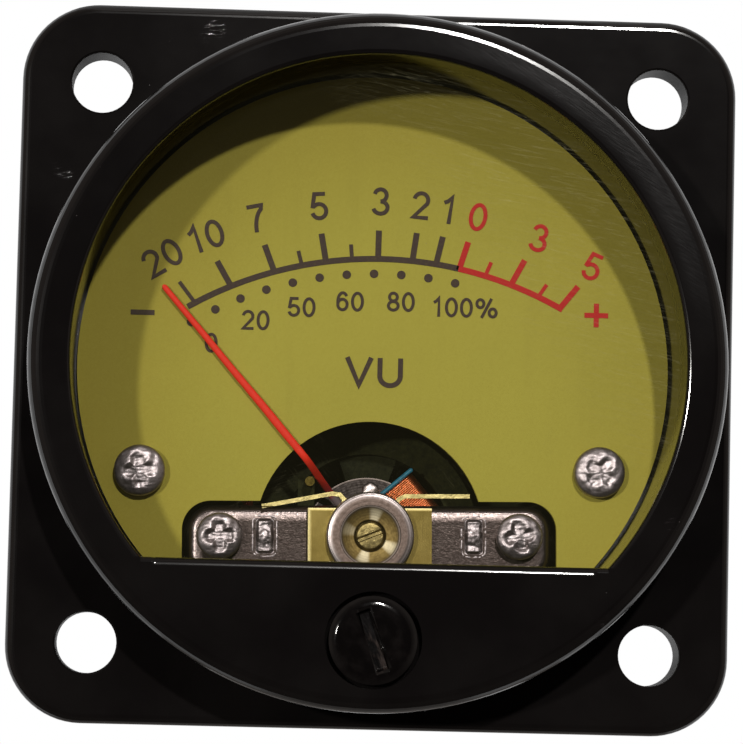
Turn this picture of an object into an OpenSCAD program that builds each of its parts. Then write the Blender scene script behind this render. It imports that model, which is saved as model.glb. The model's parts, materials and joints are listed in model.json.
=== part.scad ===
// Panel meter with a moving coil behind a round bezel on a square flange.
// Millimetres. +X is right, +Z is up and the dial faces -Y.
// y = 0 is the back of the flange, the face that seats on the panel.
// A height is a distance in front of that face, so parts behind it have negative heights.

/* [Flange] */
// Width and height of the square flange
flange_w = 45; // [44:0.5:60]
// Thickness of the flange
flange_t = 3; // [2:0.1:4]
// Radius of the flange's corners
flange_corner_r = 4.8; // [2:0.1:6]
// Radius of the rounded front edge of the flange
flange_edge_r = 0.6; // [0.2:0.1:1]
// Distance between the mounting holes, across and up
mount_pitch = 35; // [35:0.5:40]
// Diameter of the mounting holes
mount_hole_d = 3.8; // [3:0.1:4.2]

/* [Bezel] */
// Outer radius of the round bezel
bezel_r = 21.4; // [20.5:0.1:22]
// How far the bezel stands in front of the flange
bezel_rise = 6.5; // [6:0.1:9]
// Radius of the bezel's rounded outer shoulder
bezel_edge_r = 0.95; // [0.4:0.05:1.2]
// Radius of the bore that the dial is seen through
bore_r = 18.75; // [18.2:0.05:19]
// Radius of the small rounding on the edge of the window opening
sight_edge_r = 0.3; // [0.1:0.05:0.5]
// Distance from the bezel's centre down to the straight sill of the opening
sill_drop = 12.3; // [11.8:0.1:12.8]
// Thickness of the wall below the sill
sill_t = 2; // [1.8:0.1:2.6]

/* [Window] */
// Thickness of the clear window
window_t = 1.5; // [0.8:0.1:2]
// How far the window laps behind the wall below the sill
window_lap = 1.6; // [0.8:0.1:2]
// Gap between the window's rim and the bore
window_clear = 0.05; // [0.02:0.01:0.1]

/* [Zero adjuster] */
// Diameter of the adjuster's head
adjuster_d = 5.4; // [4.6:0.1:5.6]
// How far the domed head stands above the bezel's front
adjuster_rise = 0.75; // [0.3:0.05:1.2]
// Depth of the recess that the head sits in
recess_depth = 0.9; // [0.5:0.1:1.2]
// Gap around the head in its recess
recess_clear = 0.25; // [0.1:0.05:0.4]
// Diameter of the adjuster's shaft
shaft_d = 2.5; // [2.2:0.1:2.8]
// Running gap around the shaft
shaft_clear = 0.05; // [0.02:0.01:0.1]
// Width of the screwdriver slot
adjuster_slot_w = 0.9; // [0.6:0.1:1.2]
// Length of the screwdriver slot
adjuster_slot_l = 3.8; // [3:0.1:4.2]
// Depth of the screwdriver slot below the top of the dome
adjuster_slot_depth = 0.9; // [0.5:0.1:1.1]
// Slant of the slot from upright
adjuster_slot_angle = 22; // [0:1:90]
// Diameter of the eccentric pin
crank_pin_d = 0.8; // [0.6:0.1:1]
// Distance from the adjuster's axis to the eccentric pin
crank_throw = 0.8; // [0.6:0.05:0.85]
// Distance from the pointer's axis down to the adjuster's axis
adjuster_drop = 6.55; // [6.4:0.05:7]

/* [Dial] */
// Radius of the dial plate
dial_r = 18.6; // [18:0.05:18.6]
// Thickness of the dial plate
dial_t = 0.5; // [0.3:0.1:0.7]
// Height of the dial's face in front of the seating face
dial_h = 1.5; // [1.3:0.1:2]
// Radius of the round part of the dial's cut-out
cutout_r = 7.2; // [6.8:0.1:7.6]
// Half the width of the straight part of the cut-out
cutout_half_w = 11.75; // [11.7:0.05:12.2]
// Height of the straight part above the pointer's axis
cutout_top = 2.2; // [2.1:0.05:2.6]
// Corner radius of the straight part
cutout_corner_r = 1.8; // [1:0.1:2]
// Distance from the centre line to each dial screw
dial_screw_x = 14.42; // [14:0.1:15]
// Distance from the bezel's centre down to the dial screws
dial_screw_drop = 6.4; // [5:0.1:7]
// Diameter of a dial screw's head
dial_screw_head_d = 3.2; // [2.6:0.1:3.4]

/* [Scale print] */
// Radius of the scale's arc
arc_r = 23.9; // [23:0.1:24.5]
// Distance from the bezel's centre down to the centre of the arc
arc_drop = 16.85; // [16:0.05:17]
// Distance from the centre line to the centre of the arc, printed a little to the right
arc_shift = 0.45; // [0:0.05:0.6]
// Width of the scale's line
arc_w = 0.37; // [0.2:0.01:0.6]
// Length of a long scale mark
mark_l = 1.8; // [1.2:0.1:2.2]
// Length of a short scale mark
short_mark_l = 0.95; // [0.5:0.05:1.2]
// Diameter of a percent dot
dot_d = 0.54; // [0.3:0.02:0.8]
// Distance from the arc in to the row of dots
dot_inset = 0.95; // [0.7:0.05:1.3]
// Thickness of the printed ink
ink_t = 0.04; // [0.02:0.01:0.08]

/* [Front bridge] */
// Turn of the movement about the pointer's axis as fitted, to the left
movement_turn = 1.2; // [0:0.1:1.5]
// Distance from the bezel's centre down to the pointer's axis
axis_drop = 10.45; // [10.2:0.05:10.6]
// Half the length of the bridge
bridge_half_l = 11.45; // [11.3:0.05:11.6]
// Height of the bridge above the pointer's axis
bridge_top = 1.95; // [1.8:0.05:2.05]
// Depth of the bridge below the pointer's axis
bridge_bottom = 2.7; // [2.6:0.05:2.9]
// Thickness of the bridge
bridge_t = 1.8; // [1.4:0.1:2]
// Corner radius of the bridge
bridge_corner_r = 1.6; // [1:0.1:1.9]
// Radius of the rounded front edge of the bridge
bridge_edge_r = 0.55; // [0.1:0.05:0.6]
// Distance from the axis to each bridge screw
bridge_screw_x = 9.4; // [9.3:0.05:9.7]
// Diameter of a bridge screw's head
bridge_screw_head_d = 2.9; // [2.4:0.1:3]
// Distance from the axis to each lug
lug_x = 6.56; // [6.5:0.02:6.7]
// Width of a lug
lug_w = 1.05; // [0.8:0.05:1.1]
// Height of a lug
lug_h = 2.1; // [1.6:0.1:2.4]

/* [Pointer] */
// Length of the pointer from its axis to its tip
pointer_l = 20.4; // [18:0.1:21]
// Slant of the pointer at rest, to the left of upright
pointer_rest = 40.9; // [38:0.1:41.5]
// Width of the pointer at its tip
pointer_tip_w = 0.3; // [0.2:0.05:0.5]
// Width of the pointer at its root
pointer_root_w = 0.56; // [0.4:0.02:0.6]
// Thickness of the pointer
pointer_t = 0.2; // [0.1:0.05:0.3]
// Height of the pointer above the dial's face
pointer_lift = 0.7; // [0.6:0.1:2]

/* [Moving coil] */
// Width of the winding's front limb
coil_w = 3.4; // [2.6:0.1:3.5]
// Depth of the winding on the former
winding_t = 0.6; // [0.4:0.05:0.65]
// Thickness of the aluminium former
former_t = 0.15; // [0.1:0.05:0.2]
// Radius of the magnet core
core_r = 3.9; // [3.5:0.1:4]
// Length of the magnet core
core_l = 6; // [5:0.5:8]
// Thickness of the yoke ring
yoke_t = 1.8; // [1.75:0.05:1.9]
// Gap that the coil runs in, on each side of it
air_gap = 0.25; // [0.2:0.05:0.3]
// Outer radius of a hairspring
spring_r = 2.4; // [2:0.1:2.5]
// Turns in a hairspring
spring_turns = 4; // [3:1:5]

/* [Rear case] */
// Outer radius of the case behind the flange
case_r = 19.5; // [19.2:0.1:20]
// Thickness of the case wall
case_wall = 1.5; // [1.3:0.05:1.5]
// Depth of the case behind the flange
case_depth = 17.2; // [17:0.2:24]
// Distance from the centre line to each terminal
terminal_x = 7; // [6:0.5:8]
// Height of the terminals above the bezel's centre
terminal_up = 4; // [2:0.5:7]
// Diameter of a terminal stud
terminal_d = 3; // [2.5:0.5:4]
// Length of stud behind the case
terminal_l = 8; // [7:0.5:12]

/* [Hidden] */
fine = 96;
nib = 32;
eps = 0.5;

// Fits
fit_clear = 0.02;
seat_clear = 0.05;
screw_clear = 0.1;
post_clear = 0.2;
rim_lap = 0.8;

// Heights of the front
front_h = flange_t + bezel_rise;
sill_back = front_h - sill_t;
window_back = sill_back - window_t;
hole_chamfer = 0.12;
adjuster_shoulder = 0.15;

// Spring clip that keeps the adjuster in its bore
retainer_r = shaft_d / 2 + 0.8;
retainer_t = 0.35;
retainer_clear = 0.25;

// Places
axis_z = -axis_drop;
adjuster_z = axis_z - adjuster_drop;
arc_z = -arc_drop;
dial_screw_up = axis_drop - dial_screw_drop;

// Heights of the dial and of the pieces in its cut-out
dial_back = dial_h - dial_t;
cutout_depth = bridge_bottom + 0.3;
bridge_inset = 0.3;
bridge_front = dial_h - bridge_inset;
bridge_back = bridge_front - bridge_t;
lug_front = bridge_front + 0.3;
lever_back = lug_front + 0.1;
lever_t = 0.3;
lever_front = lever_back + lever_t;
shaft_gap = 0.5;
ring_back = lever_front + 0.1;
ring_t = 0.6;
ring_front = ring_back + ring_t;
ring_r = 2.75;
ring_edge_r = 0.2;
spring_tab_r = spring_r + 0.05;
spring_tab_w = 0.9;
spring_tab_t = 0.25;
spring_tab_end = spring_tab_r + spring_tab_t;
lever_boss_r = norm([spring_tab_w / 2, spring_tab_end]) + fit_clear;

// Front bearing, from the middle out
jewel_r = 0.6;
jewel_t = 0.6;
jewel_cup_r = 0.5;
jewel_cup_depth = 0.45;
jewel_screw_r = 0.98;
jewel_screw_bore_r = jewel_screw_r + fit_clear;
jewel_slot_w = 0.28;
jewel_slot_depth = 0.35;
jewel_mouth = bridge_back - 0.2;
jewel_screw_face = ring_front - 0.2;
dish_r = 1.25;
dish_depth = 0.65;
cone_r = 1.9;
cone_rim_w = 0.15;
cone_inset = 0.05;
bush_r = 1.45;
bush_back = bridge_back - 0.15;
bush_flange_r = spring_tab_r - 0.1;
bush_collar_r = bush_flange_r - 0.15;

// Heights of the moving parts, from front to back
spring_w = 0.35;
spring_gap = 0.35;
spring_front = bridge_back - spring_gap;
spring_back = spring_front - spring_w;
blade_t = 0.09;
pivot_r = 0.3;
pivot_point_l = 0.5;
pivot_tip = bridge_back + 0.13;
collet_r = 0.7;
collet_l = 0.6;
collet_lip = 0.05;
collet_front = spring_front + collet_lip;
hub_front = collet_front - collet_l;
hub_t = 0.5;
hub_r = 1.3;
arm_start = hub_r + fit_clear;
core_gap = 0.3;
coil_front = hub_front - hub_t;
former_front = coil_front - winding_t;
core_front = former_front - former_t - core_gap;
core_back = core_front - core_l;
former_back = core_back - core_gap - former_t;
coil_back = former_back - winding_t;
rear_hub_back = coil_back - hub_t;
rear_collet_back = rear_hub_back - collet_l;
rear_spring_back = rear_collet_back + collet_lip;
rear_bridge_front = rear_spring_back - spring_gap;
rear_bridge_t = 1.4;
rear_bridge_back = rear_bridge_front - rear_bridge_t;

// Side view of the pointer: low at its root, cranked up out of the cut-out, then straight
pointer_h = dial_h + pointer_lift;
crank_start = 3.6;
crank_end = 6.4;

// Balance tail and its weights, opposite the pointer
tail_l = 4.3;
tail_w = 0.5;
weight_r = 0.35;
weight_t = 0.3;
WEIGHT_REACHES = [2.9, 3.7];

// Coil, core and yoke
coil_inner = core_r + air_gap;
coil_outer = coil_inner + former_t + winding_t;
coil_sweep_r = sqrt(coil_outer * coil_outer + coil_w * coil_w / 4);
yoke_inner_r = coil_sweep_r + air_gap;
yoke_outer_r = yoke_inner_r + yoke_t;
yoke_inset = 0.4;
yoke_front = core_front - yoke_inset;
yoke_back = core_back + yoke_inset;
yoke_flat = 6.5;
spacer_angle = 20;
spacer_inset = 0.5;
lead_r = 0.14;
lead_start = 1.6;

// Moulded base
base_t = 2;
base_back = yoke_back;
base_front = base_back + base_t;
base_r = case_r - case_wall - post_clear;
post_r = 1.9;
dial_post_r = 1.7;
top_post_z = 14.5;

// Stops of the pointer
stop_pin_r = 0.3;
stop_reach = 5.1;
stop_bearing = -pointer_rest - 7.4;
stop_x = stop_reach * sin(stop_bearing);
stop_z = stop_reach * cos(stop_bearing);
stop_pin_front = dial_h - 0.6;
stop_tab_w = 0.7;
stop_tab_t = 0.3;
stop_tab_lap = 0.9;
stop_tab_margin = 0.4;
tail_stop_reach = 3.3;
tail_stop_bearing = 234.5;

// Screws
screw_r = 0.8;
screw_l = 4;
screw_end_gap = 0.3;
head_t = 1.1;

// Case
case_back = -case_depth;
case_inner_r = case_r - case_wall;
case_floor = case_back + 1.8;
rim_r = case_r - 0.3;
rebate_r = rim_r + fit_clear;
rebate_mouth_r = case_r + 0.1;
pillar_r = 2;
PILLARS = [[0, 13.6], [-12.9, -3.5], [12.9, -3.5]];
pillar_screw_skin = 0.4;
sign_rise = 6.5;
sign_up = terminal_up + sign_rise;
sign_size = 2.4;
sign_stroke = 0.5;
sign_relief = 0.3;

// Rear bearing's fittings behind the rear bridge
anchor_t = 0.3;
anchor_half_w = 1.4;
lock_nut_t = 0.5;
lock_nut_r = 1.9;
rear_nut_back = rear_bridge_back - anchor_t - lock_nut_t;
rear_screw_face = rear_nut_back - 0.3;

// Terminals: a stud is thinner inside its nuts, where its thread is engaged
stud_core_r = terminal_d / 2 - 0.2;
nut_af = terminal_d * 1.83;
nut_t = terminal_d * 0.8;
washer_r = terminal_d * 1.1;
washer_t = 0.5;
tag_t = 0.4;
tag_w = 2.2;
tag_reach = 8.5;
tag_hole_r = 0.55;
tag_hole_reach = 7.9;
nut_back = case_back - washer_t - tag_t - nut_t;
stud_front = case_floor + nut_t + 0.6;

// Lead wires
wire_r = 0.35;
wire_x = -8.6;
wire_hole_z = -1.2;
wire_hole_r = 1;
wire_end_x = -7.6;
WIRE_BEND = [2.6, -3.2];

// Points along an arc about [x, y], from angle a to angle b
function arc(x, y, r, a, b, n = 8) =
    [for (i = [0:n]) [x + r * cos(a + (b - a) * i / n), y + r * sin(a + (b - a) * i / n)]];

// Direction at an angle clockwise from upright
function bearing(a) = [sin(a), cos(a)];

// Distance from the pointer's axis to the scale's arc along a bearing
function reach_to_arc(a) =
    let (m = [arc_shift, arc_z - axis_z], b = m * bearing(a))
    b + sqrt(b * b - m * m + arc_r * arc_r);

// Extrudes an outline in X and Z from height a forward to height b
module slab(a, b) {
    translate([0, -a, 0]) rotate([90, 0, 0]) linear_extrude(b - a) children();
}

// Turns a profile of [radius, height] points about an axis along Y
module turned(profile) {
    rotate([90, 0, 0]) rotate_extrude($fn = fine) polygon(profile);
}

// Round bar along Y
module rod(a, b, r) {
    slab(a, b) circle(r, $fn = fine);
}

module at(x, z) {
    translate([x, 0, z]) children();
}

module at_axis() {
    at(0, axis_z) children();
}

// On the pointer's axis, turned as the movement is fitted
module at_movement() {
    at_axis() clockwise(-movement_turn) children();
}

// The same in an outline
module outline_at_movement() {
    translate([0, axis_z]) rotate(movement_turn) children();
}

// Copies to the left and to the right
module both(x, z) {
    for (side = [-1, 1]) at(side * x, z) children();
}

// Turns the children clockwise, seen from the front
module clockwise(a) {
    rotate([0, a, 0]) children();
}

// Plate with rounded corners and a rounded front edge, from height a to height b
module rounded_plate(w, h, corner, edge, a, b) {
    profile = concat([[0, a], [corner, a]], arc(corner - edge, b - edge, edge, 0, 90), [[0, b]]);
    inner_w = w - 2 * corner;
    inner_h = h - 2 * corner;
    slab(a, b) {
        square([inner_w, h - 2 * edge], center = true);
        square([w - 2 * edge, inner_h], center = true);
    }
    for (x = [-1, 1], z = [-1, 1]) at(x * inner_w / 2, z * inner_h / 2) turned(profile);
    for (k = [0:3]) {
        across = k % 2 == 0;
        clockwise(90 * k) at(0, -(across ? inner_h : inner_w) / 2)
            rotate([0, 90, 0]) rotate([180, 0, 0])
                linear_extrude(across ? inner_w : inner_h, center = true) polygon(profile);
    }
}

// Ring between two radii
module ring(outer, inner) {
    difference() {
        circle(outer, $fn = fine);
        circle(inner, $fn = fine);
    }
}

// Outline of a bore with everything below the sill taken away
module d_shape(r, drop) {
    intersection() {
        circle(r, $fn = fine);
        translate([-r, -drop]) square([2 * r, r + drop]);
    }
}

// Unit vector at right angles to the step from a to b
function beside(a, b) = [a[1] - b[1], b[0] - a[0]] / norm(b - a);

// Points at a distance d to one side of a path, with mitred corners
function side_points(path, d) =
    [for (i = [0:len(path) - 1])
        let (last = len(path) - 1,
            before = beside(path[max(i - 1, 0)], path[max(i, 1)]),
            after = beside(path[min(i, last - 1)], path[min(i + 1, last)]),
            middle = (before + after) / norm(before + after))
        path[i] + middle * d / (middle * before)];

// Flat strip of one width along a path
module strip(path, w) {
    left = side_points(path, w / 2);
    right = side_points(path, -w / 2);
    polygon(concat(left, [for (i = [len(right) - 1:-1:0]) right[i]]));
}

// Round wire along a list of points in space, with a slightly fuller ball at each bend
module wire(points, r) {
    for (i = [0:len(points) - 2]) {
        step = points[i + 1] - points[i];
        translate(points[i]) rotate([0, acos(step[2] / norm(step)), atan2(step[1], step[0])])
            cylinder(r = r, h = norm(step), $fn = nib);
    }
    for (p = points) translate(p) sphere(1.04 * r, $fn = nib);
}

// Cross-shaped driver recess cut down from height top
module cross_recess(size, depth, top) {
    for (a = [0, 90]) clockwise(a) translate([0, -top, 0]) rotate([90, 0, 0])
        rotate([90, 0, 0]) linear_extrude(size * 0.22, center = true)
            polygon([[-size / 2, 0.1], [size / 2, 0.1], [size * 0.2, -depth], [-size * 0.2, -depth]]);
}

// Pan-head screw whose head sits at height seat
module pan_screw(head_d, seat, shank_l) {
    edge = head_t * 0.7;
    top = seat + head_t;
    difference() {
        union() {
            turned(concat([[0, seat], [head_d / 2, seat]],
                arc(head_d / 2 - edge, top - edge, edge, 0, 90), [[0, top]]));
            rod(seat - shank_l, seat + eps, screw_r);
        }
        cross_recess(head_d * 0.66, head_t * 0.7, top);
    }
}

// Jewel screw from its slotted face to the end that holds the jewel
module jewel_screw(face, tip, slot_angle) {
    lead = face > tip ? 1 : -1;
    low = min(face, tip);
    high = max(face, tip);
    slot_floor = face - lead * jewel_slot_depth;
    difference() {
        rod(low, high, jewel_screw_r);
        slab(min(tip - lead * eps, tip + lead * jewel_t), max(tip - lead * eps, tip + lead * jewel_t))
            circle(jewel_r, $fn = fine);
        slab(min(slot_floor, face + lead * eps), max(slot_floor, face + lead * eps))
            rotate(slot_angle) square([2.5 * jewel_screw_r, jewel_slot_w], center = true);
    }
}

// Jewel with a conical cup that opens towards the back
module jewel(mouth) {
    floor_h = mouth + jewel_t;
    turned([[0, floor_h], [jewel_r, floor_h], [jewel_r, mouth], [jewel_cup_r, mouth],
        [0, mouth + jewel_cup_depth]]);
}

// Steel pivot with a conical point at the front
module pivot(tip, root) {
    turned([[0, tip], [pivot_r, tip - pivot_point_l], [pivot_r, root], [0, root]]);
}

module hairspring_blade(front) {
    start_r = collet_r + blade_t / 2 + 0.01;
    pitch = (spring_r - start_r) / spring_turns;
    steps = 36 * spring_turns;
    spiral = [for (i = [0:steps]) let (a = 360 * spring_turns * i / steps) [a, start_r + pitch * a / 360]];
    outer = [for (p = spiral) (p[1] + blade_t / 2) * bearing(p[0])];
    inner = [for (i = [steps:-1:0]) (spiral[i][1] - blade_t / 2) * bearing(spiral[i][0])];
    at_axis() slab(front - spring_w, front) polygon(concat(outer, inner));
}

module front_housing() {
    color("#151414") difference() {
        union() {
            rounded_plate(flange_w, flange_w, flange_corner_r, flange_edge_r, 0, flange_t);
            turned(concat([[0, 0], [bezel_r, 0]],
                arc(bezel_r - bezel_edge_r, front_h - bezel_edge_r, bezel_edge_r, 0, 90),
                [[0, front_h]]));
        }
        rod(-eps, rim_lap, rebate_r);
        turned([[0, -eps], [rebate_mouth_r, -eps], [rebate_mouth_r, 0],
            [rebate_r, rebate_mouth_r - rebate_r], [0, rebate_mouth_r - rebate_r]]);
        rod(0, sill_back, bore_r);
        slab(sill_back - eps, front_h + eps) d_shape(bore_r, sill_drop);
        intersection() {
            turned(concat([[bore_r - eps, front_h + eps], [bore_r + sight_edge_r, front_h + eps]],
                arc(bore_r + sight_edge_r, front_h - sight_edge_r, sight_edge_r, 90, 180),
                [[bore_r - eps, front_h - sight_edge_r]]));
            slab(sill_back, front_h + 2 * eps) translate([-bezel_r, -sill_drop])
                square([2 * bezel_r, bezel_r + sill_drop]);
        }
        sill_edge_cutter();
        for (x = [-1, 1], z = [-1, 1]) at(x * mount_pitch / 2, z * mount_pitch / 2) {
            rod(-eps, flange_t + eps, mount_hole_d / 2);
            turned([[0, flange_t - hole_chamfer], [mount_hole_d / 2, flange_t - hole_chamfer],
                [mount_hole_d / 2 + hole_chamfer + eps, flange_t + eps], [0, flange_t + eps]]);
        }
        at(0, adjuster_z) {
            rod(-eps, sill_back, retainer_r + retainer_clear);
            rod(front_h - recess_depth, front_h + eps, adjuster_d / 2 + recess_clear);
            rod(sill_back - eps, front_h, shaft_d / 2 + shaft_clear);
        }
    }
}

// Rounds the sill's front edge between the two ends of the opening
module sill_edge_cutter() {
    half = sqrt(bore_r * bore_r - sill_drop * sill_drop);
    profile = concat([[-eps, front_h + eps], [sight_edge_r, front_h + eps]],
        arc(sight_edge_r, front_h - sight_edge_r, sight_edge_r, 90, 180),
        [[-eps, front_h - sight_edge_r]]);
    at(0, -sill_drop) rotate([0, 90, 0]) rotate([180, 0, 0])
        linear_extrude(2 * half, center = true) polygon(profile);
}

module window() {
    color("#dfe6e4", 0.3) slab(window_back, sill_back)
        d_shape(bore_r - window_clear, sill_drop + window_lap);
}

module zero_adjuster() {
    head_r = adjuster_d / 2;
    head_back = front_h - recess_depth + seat_clear;
    shoulder = front_h - adjuster_shoulder;
    top = front_h + adjuster_rise;
    sag = top - shoulder;
    dome_r = (head_r * head_r + sag * sag) / (2 * sag);
    rim = asin((dome_r - sag) / dome_r);
    shaft_end = lever_front + shaft_gap;
    color("#121212") at(0, adjuster_z) difference() {
        union() {
            turned(concat([[0, head_back], [head_r, head_back]],
                arc(0, top - dome_r, dome_r, rim, 90, 12)));
            rod(shaft_end, head_back + eps, shaft_d / 2);
            at(0, crank_throw) rod(lever_back, shaft_end + eps, crank_pin_d / 2);
        }
        clockwise(-adjuster_slot_angle) slab(top - adjuster_slot_depth, top + eps)
            square([adjuster_slot_w, adjuster_slot_l], center = true);
    }
}

module adjuster_retainer() {
    color("#555555") at(0, adjuster_z)
        slab(sill_back - seat_clear - retainer_t, sill_back - seat_clear) ring(retainer_r, shaft_d / 2);
}

// Outline of the dial's cut-out: a half-round over a wide slot
module cutout_outline() {
    outline_at_movement() {
        circle(cutout_r, $fn = fine);
        inner_w = 2 * (cutout_half_w - cutout_corner_r);
        low = cutout_top - cutout_corner_r;
        for (x = [-1, 1]) translate([x * inner_w / 2, low]) circle(cutout_corner_r, $fn = fine);
        translate([-inner_w / 2, -cutout_depth]) square([inner_w, cutout_depth + cutout_top]);
        translate([-cutout_half_w, -cutout_depth]) square([2 * cutout_half_w, cutout_depth + low]);
    }
}

module dial_plate() {
    color("#a39b46") difference() {
        rod(dial_back, dial_h, dial_r);
        slab(dial_back - eps, dial_h + eps) intersection() {
            cutout_outline();
            outline_at_movement() translate([-dial_r, -cutout_depth]) square([2 * dial_r, 2 * dial_r]);
        }
        at_movement() both(dial_screw_x, dial_screw_up)
            rod(dial_back - eps, dial_h + eps, screw_r + screw_clear);
    }
}

// Sector of the print between two bearings from the arc's centre
module arc_sector(from, to) {
    reach = 2 * arc_r;
    polygon([[0, 0], reach * bearing(from), reach * bearing((from + to) / 2), reach * bearing(to)]);
}

module arc_line(from, to) {
    translate([arc_shift, arc_z]) intersection() {
        ring(arc_r + arc_w / 2, arc_r - arc_w / 2);
        arc_sector(from, to);
    }
}

// One scale mark that runs out from the arc along a bearing from the axis
module mark(angle, length, w) {
    foot = reach_to_arc(angle) - arc_w / 4;
    translate([0, axis_z]) rotate(-angle) translate([-w / 2, foot]) square([w, length + arc_w / 4]);
}

// Bearings of the scale marks from the pointer's axis
LONG_MARKS = [-30.4, -21.2, -10.4, 0.4, 7.5, 12.4];
SHORT_MARKS = [-15.4, -5];
RED_LONG_MARKS = [17.2, 28, 38.5];
RED_SHORT_MARKS = [22.6, 33.8];
FIRST_MARK = -38.2;
// Bearings of the arc's ends, and of its change of colour, from its own centre
ARC_START = -30.8;
ARC_RED = 11.5;
ARC_END = 28.5;
thin_mark_w = 0.24;
FIRST_MARK_CUT = 0.15;
// Percent dots, from their own first bearing
DOT_START = -31.5;
DOT_STEP = 4.3;
DOTS = 11;
// Middles and size of the printed signs
MINUS_AT = [-14.6, 3.25];
PLUS_AT = [14, 3.85];
print_sign_w = 1.5;
print_sign_stroke = 0.32;

module scale_print_black() {
    color("#463c37") slab(dial_h, dial_h + ink_t) {
        arc_line(ARC_START, ARC_RED);
        for (a = LONG_MARKS) mark(a, mark_l, arc_w);
        for (a = SHORT_MARKS) mark(a, short_mark_l, thin_mark_w);
        mark(FIRST_MARK, mark_l - FIRST_MARK_CUT, thin_mark_w);
        translate([arc_shift, arc_z]) for (i = [0:DOTS - 1])
            translate((arc_r - dot_inset) * bearing(DOT_START + DOT_STEP * i)) circle(dot_d / 2, $fn = nib);
        translate(MINUS_AT) square([print_sign_w, print_sign_stroke], center = true);
    }
}

module scale_print_red() {
    color("#b8322c") slab(dial_h, dial_h + ink_t) {
        arc_line(ARC_RED, ARC_END);
        for (a = RED_LONG_MARKS) mark(a, mark_l, arc_w);
        for (a = RED_SHORT_MARKS) mark(a, short_mark_l, thin_mark_w);
        translate(PLUS_AT) square([print_sign_w, print_sign_stroke], center = true);
        translate(PLUS_AT) square([print_sign_stroke, print_sign_w], center = true);
    }
}

module dial_screws() {
    color("#a8a2a4") at_movement() both(dial_screw_x, dial_screw_up)
        pan_screw(dial_screw_head_d, dial_h, screw_l);
}

module front_bridge() {
    middle = (bridge_top - bridge_bottom) / 2;
    color("#8c8688") at_movement() difference() {
        at(0, middle) rounded_plate(2 * bridge_half_l, bridge_top + bridge_bottom, bridge_corner_r,
            bridge_edge_r, bridge_back, bridge_front);
        rod(bridge_back - eps, bridge_front + eps, bush_r + fit_clear);
        both(bridge_screw_x, 0) rod(bridge_back - eps, bridge_front + eps, screw_r + screw_clear);
        both(lug_x, 0) slab(bridge_back - eps, bridge_front + eps)
            square([lug_w + 2 * seat_clear, lug_h + 2 * seat_clear], center = true);
    }
}

module bridge_screws() {
    color("#b4aeb0") at_movement() both(bridge_screw_x, 0)
        pan_screw(bridge_screw_head_d, bridge_front, screw_l);
}

// Steel lugs that stand on the yoke and come through the bridge's slots
module yoke_lugs() {
    color("#b0aaac") at_movement() both(lug_x, 0) slab(yoke_front, lug_front)
        square([lug_w, lug_h], center = true);
}

// Section of the tab that the outer end of a hairspring is soldered to
module spring_tab() {
    translate([-spring_tab_w / 2, spring_tab_r]) square([spring_tab_w, spring_tab_t]);
}

// Middle lines of the lever's two wire-thin arms, from the axis
LEFT_ARM = [[-1.6, 1.5], [-1.75, 1.8], [-1.65, 2.25], [-1.95, 2.55], [-2.4, 2.6], [-6.8, 1.7]];
RIGHT_ARM = [[1.4, 1.6], [1.75, 2.35], [2.15, 2.55], [6.2, 2.65]];
arm_w = 0.26;
plate_half_w = 3.88;
plate_top = 1.75;
plate_bottom = 2.4;

module zero_lever() {
    fork_half_w = 1.2;
    fork_end = adjuster_drop + crank_pin_d / 2;
    slot_w = crank_pin_d + 0.2;
    slot_top = adjuster_drop - crank_throw - crank_pin_d / 2 - 0.4;
    color("#b8993f") at_axis() {
        slab(lever_back, lever_front) difference() {
            union() {
                rotate(movement_turn)
                    translate([-plate_half_w, -plate_bottom])
                        square([2 * plate_half_w, plate_bottom + plate_top]);
                translate([-fork_half_w, -fork_end]) square([2 * fork_half_w, fork_end]);
                strip(LEFT_ARM, arm_w);
                strip(RIGHT_ARM, arm_w);
                circle(lever_boss_r, $fn = fine);
            }
            circle(bush_collar_r + seat_clear, $fn = fine);
            translate([-slot_w / 2, -fork_end - eps]) square([slot_w, fork_end + eps - slot_top]);
        }
        slab(spring_back, lever_back + lever_t / 3) spring_tab();
    }
}

module lock_ring() {
    color("#c9c3cc") at_axis() turned(concat([[cone_r + fit_clear, ring_back], [ring_r, ring_back]],
        arc(ring_r - ring_edge_r, ring_front - ring_edge_r, ring_edge_r, 0, 90, 4),
        [[cone_r + fit_clear, ring_front]]));
}

module bearing_bush() {
    dish_h = ring_front - dish_depth;
    cone_front = ring_front - cone_inset;
    color("#c2a04a") at_axis() turned([[jewel_screw_bore_r, bush_back],
        [bush_r, bush_back], [bush_r, bridge_front], [bush_flange_r, bridge_front],
        [bush_flange_r, lever_back - seat_clear], [bush_collar_r, lever_back - seat_clear],
        [bush_collar_r, ring_back], [cone_r, ring_back], [cone_r, cone_front],
        [cone_r - cone_rim_w, cone_front], [dish_r, dish_h], [jewel_screw_bore_r, dish_h]]);
}

module front_jewel_screw() {
    color("#b8993f") at_axis() jewel_screw(jewel_screw_face, jewel_mouth, 20);
}

module jewels() {
    color("#8a2434") at_axis() {
        jewel(jewel_mouth);
        rear_mirror() jewel(jewel_mouth);
    }
}

// Mirrors the front bearing to the back of the movement
module rear_mirror() {
    translate([0, -(bridge_back + rear_bridge_front), 0]) mirror([0, 1, 0]) children();
}

module pivots() {
    color("#9a9a9e") at_axis() {
        pivot(pivot_tip, coil_front);
        rear_mirror() pivot(pivot_tip, coil_front);
    }
}

module spring_collets() {
    color("#b8993f") at_axis() {
        slab(hub_front, collet_front) ring(collet_r, pivot_r);
        slab(rear_collet_back, rear_hub_back) ring(collet_r, pivot_r);
    }
}

module front_hairspring() {
    color("#b87a3c") hairspring_blade(spring_front);
}

module rear_hairspring() {
    color("#b87a3c") hairspring_blade(rear_spring_back + spring_w);
}

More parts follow.
